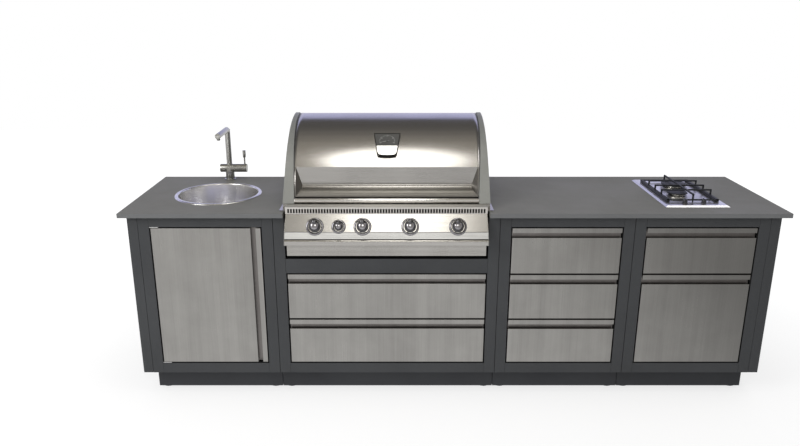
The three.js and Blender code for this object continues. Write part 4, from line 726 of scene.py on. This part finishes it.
def add_thermometer():
    """A plate with a thin rim painted dark as shade, a dark upper field with its marks and a bright lower
    field.
    """
    top, floor, rim = 0.0062, 0.0005, 3.4
    bm = bmesh.new()
    loops = [[gauge_place @ Vector((x, y, lid_dip(y))) for x, y in gauge_outline(0)]]
    for inset, z in ((0, top), (rim, top), (rim, floor - 0.0003)):
        loops.append([gauge_place @ Vector((x, y, z)) for x, y in gauge_outline(inset)])
    add_loops(bm, loops, whole=True)
    rows = []
    for x, y in gauge_sides(0.5):
        corners = [(-x, lid_dip(y)), (x, lid_dip(y)), (x, floor), (-x, floor)]
        rows.append([gauge_place @ Vector((a, y, z)) for a, z in corners])
    add_loops(bm, rows)
    # The plate shows only as its rim round the fields; its near-black steel is painted shade.
    add_piece("thermometer_plate", bm, shade_dark_steel, "lid_thermometer")
    fields = (
        ("dial_field", (0.0585, 0.0685, 0.0049), (0.049, -0.007, 0.0049), dial_dark),
        ("lower_field", (0.049, -0.007, 0.0049), (0.0415, -0.064, 0.0009), steel_bright),
    )
    for name, (x0, y0, z0), (x1, y1, z1), material in fields:
        bm = bmesh.new()
        upper = [(-x0, y0, z0), (-x1, y1, z1), (x1, y1, z1), (x0, y0, z0)]
        lower = [(x, y, 0.0003) for x, y, _ in upper]
        add_loops(bm, [[gauge_place @ Vector(corner) for corner in side] for side in (lower, upper)])
        add_detail("thermometer_" + name, bm, material, "lid_thermometer")
    add_dial_marks()


def add_dial_marks():
    """Graduations over the upper part of the dial, and a needle with its hub."""
    bm = bmesh.new()
    marks, start, sweep = 21, 200, 220
    for i in range(marks):
        angle = math.radians(start - sweep * i / (marks - 1))
        long = i % 5 == 0
        inner, outer = (0.0285, 0.0375) if long else (0.0325, 0.0375)
        width = 0.0011 if long else 0.0006
        turn = dial_place @ Matrix.Rotation(angle, 4, "Z")
        add_plate(bm, turn, oblong(inner, -width, outer, width), (0.0006, 0.0012))
    add_detail("thermometer_graduations", bm, dial_scale, "lid_thermometer")
    bm = bmesh.new()
    turn = dial_place @ Matrix.Rotation(math.radians(196), 4, "Z")
    shape = [(-0.009, -0.0013), (0, -0.0018), (0.031, -0.0004)]
    shape += [(x, -y) for x, y in shape[::-1]]
    add_plate(bm, turn, shape, (0.0013, 0.0019))
    add_detail("thermometer_needle", bm, dial_scale, "lid_thermometer")
    bm = bmesh.new()
    add_rod(bm, dial_place, 32, 0.0042, 0.0008, 0.0032, 0.0008)
    add_detail("thermometer_hub", bm, ink_and_shade_black, "lid_thermometer")


add_thermometer()

# Control panel, in millimetres
panel_tilt = math.radians(25)
panel_top = (28, 893)
panel_wide = 451
panel_lean = 5.5
nose_top = 784.5
nose_low = 758
toe_low, toe_high = 790, 814
cheek_back = 83.7
knob_level = 842
knob_back = panel_top[0] - (panel_top[1] - knob_level) * math.tan(panel_tilt)
panel_turn = Matrix.Rotation(math.pi / 2 - panel_tilt, 4, "X")
knob_rows = [
    ("grill_knob_1", -315, 1),
    ("grill_knob_small", -210, 20 / 26.5),
    ("grill_knob_2", -105, 1),
    ("grill_knob_3", 105, 1),
    ("grill_knob_4", 315, 1),
]


def panel_profile():
    """Side line of the panel's front: slant, steep toe, small step, rounded nose and its underside."""
    points = [panel_top, (-6.5, 819), (-9.5, 785), (-12, nose_top)]
    points += arc_points((-12, nose_top - 8), 8, 8, 90, 180, 10)[1:]
    points += arc_points((-15, nose_low + 5), 5, 5, 180, 270, 9)
    points.append((16, nose_low))
    return points


def panel_half(z):
    """Half width of the panel at a height. Its two sides lean inwards above the nose."""
    share = (z - nose_top) / (panel_top[1] - nose_top)
    return panel_wide - panel_lean * max(0, share)


def add_panel_sheet(bm, profile, thickness):
    """A folded sheet across the grill, its inner side a thickness behind the outer one."""
    inner = []
    for i, (y, z) in enumerate(profile):
        before = Vector(profile[max(i - 1, 0)])
        after = Vector(profile[min(i + 1, len(profile) - 1)])
        along = (after - before).normalized()
        inner.append((y - along.y * thickness, z + along.x * thickness))
    outline = profile + inner[::-1]
    add_loops(bm, [[at(side * (panel_half(z) - 1), y, z) for y, z in outline] for side in (-1, 1)])


def add_control_panel():
    """The panel: a folded sheet between two cheeks, with a toe in a darker copy of the sheet's steel, painted
    shade, and two dark strips along its folds, painted crease shade.
    """
    profile = panel_profile()
    bm = bmesh.new()
    add_panel_sheet(bm, profile, 3)
    cheek = [*profile[:-1], (cheek_back, nose_low), (cheek_back, panel_top[1])]
    for side in (-1, 1):
        loops = [[at(side * (panel_half(z) - inset), y, z) for y, z in cheek] for inset in (3, 0)]
        add_loops(bm, loops)
    sheet = add_piece(
        "grill_control_panel_sheet", bm, steel_panel, "grill_control_panel", rounding=0.0005, angle=12
    )

    def in_toe(face):
        """The upright band above the nose."""
        middle = (face.center - at(0, 0, 0)) * 1000
        return toe_low < middle.z < toe_high and middle.y < -7.5 and face.normal.y < -0.9

    # The toe band takes the darker steel, painted shade.
    paint(sheet, shaded_toe_steel, in_toe)
    bm = bmesh.new()
    # Thin near-black strips along the two folds: painted crease shade.
    for y0, y1, z0, z1 in ((-10, -9.2, 784.6, 787), (-7, -6.2, 817.4, 819.2)):
        add_bar(bm, at(-449, y0, z0), at(449, y1, z1))
    add_detail("grill_control_panel_fold_shade", bm, shade_dark_steel, "grill_control_panel")


def knob_place(x):
    """A frame on the panel's slant. Its Z axis is the axis of a knob."""
    return Matrix.Translation(at(x, knob_back, knob_level)) @ panel_turn


def add_knob(node, x, scale):
    """A knob: stepped skirt, body, domed grip over its upper half, grooves painted dark as shade, and a mark.
    """
    place = knob_place(x) @ Matrix.Scale(scale, 4)
    low = 0.0004 / scale
    profile = [
        (0, low), (0.0262, low), (0.0265, 0.001), (0.0265, 0.0048), (0.0258, 0.006), (0.0238, 0.0068),
        (0.0232, 0.0086), (0.0222, 0.0094), (0.0196, 0.0098), (0.0188, 0.0108), (0.0184, 0.018),
        (0.0176, 0.0222), (0.0158, 0.0252), (0.0128, 0.0272), (0.008, 0.0284), (0, 0.0288),
    ]
    bm = bmesh.new()
    turn_profile(bm, profile, place, 72)
    add_rod(bm, place, 24, 0.004, -0.0455, 0.006, 0.0005)
    add_piece(node + "_turned", bm, chrome_knob, node, angle=28)
    bm = bmesh.new()
    add_grip(bm, place)
    # The grip takes the darker chrome, painted dark reflection.
    add_detail(node + "_grip", bm, shaded_grip_chrome, node)
    # Black rings at the skirt's steps are painted groove shade; the flat bar is the knob's mark.
    bm = bmesh.new()
    for inner, outer, lift in ((0.019, 0.0226, 0.0097), (0.0239, 0.0257, 0.0065)):
        groove = [(inner, lift - 0.002), (outer, lift - 0.002), (outer, lift), (inner, lift + 0.0006)]
        turn_profile(bm, groove, place, 72, whole=True)
    add_plate(bm, place, oblong(-0.0008, 0.0115, 0.0008, 0.0215), (0.0335, 0.0343))
    add_detail(node + "_mark_and_groove_shade", bm, ink_and_shade_black, node)


def add_grip(bm, place):
    """The grip: a lump over the knob's upper half. Its lower side slopes down to the knob's middle."""
    sides, squareness = 28, 0.7
    loops = []
    for rise, spread in ((0, 1), (0.35, 0.98), (0.7, 0.94), (0.88, 0.87), (0.96, 0.76), (1, 0.55)):
        half = 0.012 - 0.0035 * rise
        low, high = -0.004 + 0.012 * rise, 0.026 - 0.001 * rise
        ring = []
        for j in range(sides):
            angle = 2 * math.pi * j / sides
            a, b = [math.copysign(abs(v) ** squareness, v) for v in (math.cos(angle), math.sin(angle))]
            across, along = half * spread * a, (low + high) / 2 + (high - low) / 2 * spread * b
            ring.append(place @ Vector((across, along, 0.008 + 0.026 * rise)))
        loops.append(ring)
    add_loops(bm, loops)


def add_bezel(name, x, scale):
    """The raised ring round a knob, joined to the panel."""
    place = knob_place(x) @ Matrix.Translation((0, -0.0015, 0))
    outer = 0.0385 if scale == 1 else 0.0305
    ring = [
        (0.008, -0.0012), (0, -0.0012), (0, 0.0022), (0.0006, 0.0036), (0.002, 0.005), (0.0036, 0.0058),
        (0.005, 0.0058), (0.0064, 0.0048), (0.0074, 0.0032), (0.008, 0.001),
    ]
    bm = bmesh.new()
    turn_profile(bm, [(outer - inset, z) for inset, z in ring], place, 72, whole=True)
    add_detail(name + "_bezel", bm, chrome_knob, "grill_control_panel")
    bm = bmesh.new()
    for inner, edge, lift in ((-0.0095, -0.0076, 0.0007), (-0.0002, 0.0012, 0.0006)):
        gap = oblong(outer + inner, -0.001, outer + edge, lift)
        turn_profile(bm, gap, place, 72, whole=True)
    add_detail(name + "_shadow_gap", bm, ink_and_shade_black, "grill_control_panel")


add_control_panel()
for node, x, scale in knob_rows:
    add_knob(node, x, scale)
    add_bezel(node, x, scale)

# Sink, faucet and hob

sink_middle = over_middle(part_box("sink_bowl"), worktop_top)
waste_depth = 0.1632
riser_radius = 0.014
column_low, column_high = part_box("faucet_spout")
faucet_foot = Vector(((column_low.x + column_high.x) / 2, column_high.y - riser_radius, worktop_top))


def add_sink_bowl():
    """Pressed bowl with a rolled rim, a rounded shoulder and a dished floor."""
    place = Matrix.Translation(sink_middle)
    inside = [
        (0.03, -0.166), (0.14, -0.1655), (0.151, -0.164), (0.164, -0.156), (0.174, -0.146),
        (0.1825, -0.133), (0.1852, -0.12), (0.1868, -0.002), (0.1876, 0.0014), (0.189, 0.0033),
        (0.1915, 0.0043), (0.199, 0.0043), (0.202, 0.0036), (0.204, 0.0022), (0.205, 0.0004),
    ]
    outside = [
        (0.1895, 0.0004), (0.1888, -0.002), (0.1872, -0.1205), (0.184, -0.1345), (0.175, -0.1478),
        (0.165, -0.1578), (0.1518, -0.1662), (0.03, -0.168),
    ]
    bm = bmesh.new()
    turn_profile(bm, inside + outside, place, 128, whole=True)
    add_piece("sink_bowl_pressing", bm, bowl_steel, "sink_bowl", angle=40)


def add_sink_strainer():
    """Bright dished strainer over the waste, with two rings of holes painted as dark discs of shade, and a
    middle screw.
    """
    place = Matrix.Translation(sink_middle + Vector((0, 0, -waste_depth)))
    bm = bmesh.new()
    plate = [(0, 0.0004), (0.0335, 0.0004), (0.0355, 0.0014), (0.0395, 0.0012), (0.0405, 0.0002), (0, 0)]
    turn_profile(bm, plate, place, 72)
    add_rod(bm, place, 24, 0.0045, 0.0004, 0.0028, 0.0008)
    add_detail("sink_strainer_plate", bm, steel_bright, "sink_waste")
    # The holes are dark discs on the plate: painted shade.
    bm = bmesh.new()
    for count, radius, hole in ((6, 0.011, 0.003), (12, 0.0225, 0.0036)):
        for i in range(count):
            angle = 2 * math.pi * i / count
            spot = place @ Matrix.Translation((radius * math.cos(angle), radius * math.sin(angle), 0))
            turn_profile(bm, [(0, 0.0002), (hole, 0.0002), (hole, 0.0008), (0, 0.00075)], spot, 20)
    add_detail("sink_strainer_hole_shade", bm, ink_and_shade_black, "sink_waste")


def add_faucet():
    foot = Matrix.Translation(faucet_foot)
    bar = facing((1, 0, 0), faucet_foot + Vector((0, 0, 0.059)))
    bm = bmesh.new()
    flange = [(0, 0.0004), (0.0286, 0.0004), (0.029, 0.0012), (0.0288, 0.003), (0.0272, 0.0042), (0, 0.0044)]
    turn_profile(bm, flange, foot, 96)
    add_rod(bm, foot, 96, 0.0223, 0.002, 0.06, 0.0004)
    add_rod(bm, bar, 96, 0.021, -0.047, 0.056, 0.0016)
    add_rod(bm, foot, 64, 0.014, 0.055, 0.0849, 0.0006)
    add_rod(bm, bar, 32, 0.008, 0.05, 0.0679, 0.0006)
    add_rod(bm, foot, 32, 0.007, -0.0599, 0.004, 0.0008)
    turn_profile(bm, [(0, -0.0282), (0.009, -0.0282), (0.009, -0.0206), (0, -0.0206)], foot, 6)
    add_piece("faucet_body_turned", bm, steel_satin, "faucet_body")
    add_spout(foot)
    add_handle()


def add_spout(foot):
    """Riser, a close mitred elbow with a soft outer corner, the arm and its aerator."""
    level, radius, bend, steps = 0.261, 0.0139, 0.016, 8
    riser = [(0, 0.0854), (0.0134, 0.0854), (riser_radius, 0.0862), (riser_radius, level)]
    bm = bmesh.new()
    turn_profile(bm, riser, foot, 64)
    loops = []
    for i in range(steps + 1):
        lean = math.pi / 2 * i / steps
        y, z = -bend + bend * math.cos(lean), level - bend + bend * math.sin(lean)
        turn = foot @ Matrix.Translation((0, y, z)) @ Matrix.Rotation(lean, 4, "X")
        loops.append(ring_points(radius, 0, 64, turn))
    add_loops(bm, loops, closed=False)
    arm = foot @ Matrix.Translation((0, 0, level)) @ Matrix.Rotation(math.pi / 2, 4, "X")
    add_rod(bm, arm, 64, radius, 0.012, 0.205, 0.0012)
    tip = foot @ Matrix.Translation((0, -0.19, level))
    collar = [(0, -0.0218), (0.0082, -0.0218), (0.0088, -0.021), (0.009, -0.016), (0.0082, -0.0156)]
    turn_profile(bm, [*collar, (0.0082, 0)], tip, 48)
    add_piece("faucet_spout_tube", bm, steel_satin, "faucet_spout", angle=35)
    bm = bmesh.new()
    turn_profile(bm, [(0, -0.0216), (0.0068, -0.0221), (0.0068, -0.0219), (0, -0.0211)], tip, 32)
    add_detail("faucet_aerator_screen", bm, ink_and_shade_black, "faucet_spout")


def add_handle():
    rounded_copy("faucet_handle_cap", steel_satin, 0.0008, 2, 40)
    low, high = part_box("faucet_lever")
    height = high.z - low.z
    profile = [(0, 0), (0.0036, 0), (0.004, 0.0006), (0.004, height - 0.041), (0.0048, height - 0.039)]
    profile += [(0.007, height - 0.0345), (0.008, height - 0.031), (0.008, height - 0.0012)]
    profile += [(0.0076, height - 0.0003), (0.0068, height), (0, height)]
    bm = bmesh.new()
    turn_profile(bm, profile, Matrix.Translation(over_middle((low, high), low.z)), 48)
    add_piece("faucet_lever_turned", bm, steel_satin, "faucet_lever")


add_sink_bowl()
finish_node("sink_waste", waste_plastic)
add_sink_strainer()
add_faucet()


def add_gas_burner(node, radius):
    """Base dish, crown with flame teeth and a rounded cap."""
    low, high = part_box(node)
    place = Matrix.Translation(over_middle((low, high), low.z))
    crown = radius * 0.82
    bm = bmesh.new()
    base = [(0, 0), (radius, 0), (radius, 0.003), (radius - 0.002, 0.0052), (crown + 0.002, 0.0066)]
    base += [(crown, 0.007), (crown - 0.003, 0.0072), (crown - 0.003, 0.015), (0, 0.015)]
    turn_profile(bm, base, place, 96)
    add_piece(node + "_crown", bm, steel_satin, node)
    bm = bmesh.new()
    teeth = 40
    for i in range(teeth):
        turn = place @ Matrix.Rotation(2 * math.pi * i / teeth, 4, "Z")
        add_plate(bm, turn, oblong(crown - 0.004, -0.0016, crown, 0.0016), (0.007, 0.015))
    add_detail(node + "_flame_teeth", bm, steel_satin, node)
    bm = bmesh.new()
    cap = [
        (0, 0.0152), (radius - 0.001, 0.0152), (radius, 0.0158), (radius, 0.0178), (radius - 0.0008, 0.0194),
        (radius - 0.003, 0.0203), (radius - 0.006, 0.0206), (radius * 0.5, 0.0209), (0, 0.021),
    ]
    turn_profile(bm, cap, place, 96)
    add_detail(node + "_lid", bm, black_iron, node)


def add_hob_knob(node):
    plate_top = worktop_top + 0.0063
    place = Matrix.Translation(over_middle(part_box(node), plate_top))
    profile = [(0, 0.0004), (0.0118, 0.0004), (0.012, 0.0012), (0.0118, 0.003), (0.0106, 0.0038)]
    profile += [(0.0104, 0.0126), (0.0098, 0.015), (0.0084, 0.0168), (0.006, 0.0176), (0, 0.0178)]
    bm = bmesh.new()
    turn_profile(bm, profile, place, 48)
    add_rod(bm, place, 20, 0.003, -0.0199, 0.004, 0.0004)
    add_piece(node + "_turned", bm, black_plastic, node)
    bm = bmesh.new()
    rows = ((0.009, 0.0025, 0.0115), (0.0205, 0.0023, 0.0112), (0.0215, 0.0016, 0.0104))
    add_loops(bm, [
        [place @ Vector((x, y, z)) for x, y in oblong(-wide, -long, wide, long)] for z, wide, long in rows
    ])
    add_detail(node + "_grip", bm, black_plastic, node, rounding=0.0004)


def add_pan_support():
    """A slim cast frame on feet, with three bridges across it and one from front to back."""
    low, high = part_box("hob_pan_support")
    bar, side_bar, foot, middle = 0.0075, 0.014, 0.0062, (low.x + high.x) / 2
    frame_top = low.z + foot + 0.007
    bm = bmesh.new()
    for y0 in (low.y, high.y - bar):
        add_bar(bm, (low.x, y0, low.z + foot), (high.x, y0 + bar, frame_top))
        add_bar(bm, (middle - bar / 2, y0, frame_top - 0.001), (middle + bar / 2, y0 + bar, high.z - 0.004))
        for x in (low.x + 0.012, middle, high.x - 0.012):
            spot = Matrix.Translation((x, y0 + bar / 2, low.z))
            turn_profile(bm, [(0, 0), (0.0032, 0), (0.0037, foot + 0.001), (0, foot + 0.001)], spot, 20)
    for x0 in (low.x, high.x - side_bar):
        add_bar(bm, (x0, low.y, low.z + 0.0006), (x0 + side_bar, high.y, frame_top))
    for share in (0.234, 0.462, 0.696):
        y = low.y + (high.y - low.y) * share
        add_bar(bm, (low.x + 0.001, y - bar / 2, high.z - bar), (high.x - 0.001, y + bar / 2, high.z))
        for x0 in (low.x + 0.001, high.x - 0.001 - bar):
            add_bar(bm, (x0, y - bar / 2, frame_top - 0.002), (x0 + bar, y + bar / 2, high.z - 0.003))
    add_bar(bm, (middle - bar / 2, low.y, high.z - bar), (middle + bar / 2, high.y, high.z))
    add_piece("hob_pan_support_cast", bm, black_iron, "hob_pan_support", rounding=0.0018, segments=3)


rounded_copy("hob_plate", hob_steel, 0.001)
add_gas_burner("hob_burner_rear", 0.062)
add_gas_burner("hob_burner_front", 0.047)
add_pan_support()
add_hob_knob("hob_knob_left")
add_hob_knob("hob_knob_right")

# Floor, light and camera


def background_material():
    """A pale floor that shows white but keeps the shadow of what stands on it."""
    material = bpy.data.materials.new("PaleFloor")
    material.use_nodes = True
    tree = material.node_tree
    shader = tree.nodes["Principled BSDF"]
    place = node_in(tree, "ShaderNodeTexCoord").outputs["Object"]
    tone = mix_in(tree, noise_in(tree, place, 0.6, 3), (0.86, 0.86, 0.855), (0.9, 0.9, 0.895))
    fill(tree, shader, {"Base Color": tone, "Roughness": 0.9})
    rays = node_in(tree, "ShaderNodeLightPath").outputs
    across = split_in(tree, place)
    falloff = spread_in(tree, across["X"], 0.3, 2.1, 0.89, 0.27)
    mid_front = spread_in(tree, across["Y"], -4, -3.2, 0.74, 1)
    far_front = spread_in(tree, across["Y"], -5.6, -4.9, 3.6, 1)
    seen_tone = times(tree, falloff, times(tree, mid_front, far_front))
    reach = node_in(tree, "ShaderNodeVectorMath", {0: place}, operation="LENGTH")
    mirrored_tone = spread_in(tree, reach.outputs["Value"], 1.6, 3.2, 1.16, 1.4)
    white = spread_in(tree, rays["Is Camera Ray"], 0, 1, seen_tone, mirrored_tone)
    tint = node_in(tree, "ShaderNodeCombineColor", {"Red": white, "Green": white, "Blue": white})
    glow = node_in(tree, "ShaderNodeEmission", {"Color": tint.outputs["Color"]})
    mirrored = maths_in(tree, "MAXIMUM", rays["Is Glossy Ray"], rays["Is Transmission Ray"])
    share = maths_in(tree, "MAXIMUM", times(tree, rays["Is Camera Ray"], 0.6), mirrored)
    surface = mix_shaders(tree, share, shader.outputs["BSDF"], glow.outputs["Emission"])
    feed(tree, surface, tree.nodes["Material Output"].inputs["Surface"])
    return material


def add_floor():
    bm = bmesh.new()
    size, steps = 14, 8
    places = [i * size / steps - size / 2 for i in range(steps + 1)]
    grid = [[bm.verts.new((x, y, 0)) for x in places] for y in places]
    for y in range(steps):
        for x in range(steps):
            bm.faces.new((grid[y][x], grid[y][x + 1], grid[y + 1][x + 1], grid[y + 1][x]))
    mesh = bpy.data.meshes.new("studio_floor")
    bm.to_mesh(mesh)
    bm.free()
    mesh.materials.append(background_material())
    floor = add_object("studio_floor", mesh)


def light_world():
    """White behind the object. Metal mirrors a warm grey studio with a dark ceiling and a cool back wall."""
    world = bpy.data.worlds.new("StudioSky")
    bpy.context.scene.world = world
    world.use_nodes = True
    tree = world.node_tree
    tree.nodes.clear()
    out = node_in(tree, "ShaderNodeOutputWorld")
    direction = split_in(tree, node_in(tree, "ShaderNodeTexCoord").outputs["Generated"])
    height = maths_in(tree, "MAXIMUM", direction["Z"], 0)
    front_stops = [
        (0, (0.62, 0.605, 0.58)), (0.35, (0.5, 0.48, 0.45)), (0.65, (0.42, 0.4, 0.36)),
        (0.92, (0.44, 0.41, 0.35)), (1, (0.4, 0.37, 0.32)),
    ]
    back_stops = [
        (0, (0.8, 0.8, 0.92)), (0.3, (0.66, 0.67, 0.96)), (0.5, (0.56, 0.57, 0.86)),
        (0.54, (0.094, 0.09, 0.086)), (0.83, (0.125, 0.12, 0.112)), (0.94, (0.24, 0.225, 0.2)),
        (1, (0.38, 0.35, 0.3)),
    ]
    behind = spread_in(tree, direction["Y"], -0.15, 0.15)
    sky = mix_in(tree, behind, ramp_in(tree, height, front_stops), ramp_in(tree, height, back_stops))
    rays = node_in(tree, "ShaderNodeLightPath").outputs
    lit, mirrored, seen = [
        node_in(tree, "ShaderNodeBackground", {"Color": colour}).outputs[0]
        for colour in ((0.66, 0.66, 0.67), sky, (1, 1, 1))
    ]
    studio = mix_shaders(tree, rays["Is Glossy Ray"], lit, mirrored)
    white = maths_in(tree, "MAXIMUM", rays["Is Camera Ray"], rays["Is Transmission Ray"])
    feed(tree, mix_shaders(tree, white, studio, seen), out.inputs["Surface"])


def add_lamp(name, place, target, width, height, power, colour=(1, 1, 1), shape="ELLIPSE"):
    data = bpy.data.lights.new(name, "AREA")
    data.shape = shape
    data.size = width
    data.size_y = height
    data.energy = power
    data.color = colour
    lamp = add_object(name, data)
    lamp.location = place
    lamp.rotation_euler = (Vector(target) - Vector(place)).to_track_quat("-Z", "Y").to_euler()


def add_camera():
    """The photo's camera, as it was fitted to the edges in the photo."""
    data = bpy.data.cameras.new("PhotoView")
    data.sensor_width = 36
    data.lens = 32.55
    camera = add_object("PhotoView", data)
    camera.location = (-0.24, front_edge - 3.032, 1.792)
    camera.rotation_euler = (math.radians(90 - 17.11), 0, 0)
    bpy.context.scene.camera = camera


add_floor()
light_world()
warm = (1, 0.985, 0.94)
add_lamp("overhead_softbox", (-0.275, -0.55, 3.1), (-0.275, -0.1, 1), 1.05, 1.15, 9, warm)
add_lamp("front_softbox", (-0.265, -4, 3.3), (-0.3, -0.3, 0.85), 1.4, 1.2, 13.2, warm)
add_lamp("left_fill", (-4, -3, 3.4), (-0.4, 0, 0.5), 2.2, 2.2, 90, shape="RECTANGLE")
add_lamp("hob_softbox", (2, -0.05, 3.1), (1.1, -0.2, 0.9), 0.9, 0.8, 5)
add_camera()

scene = bpy.context.scene
scene.view_settings.view_transform = "Standard"
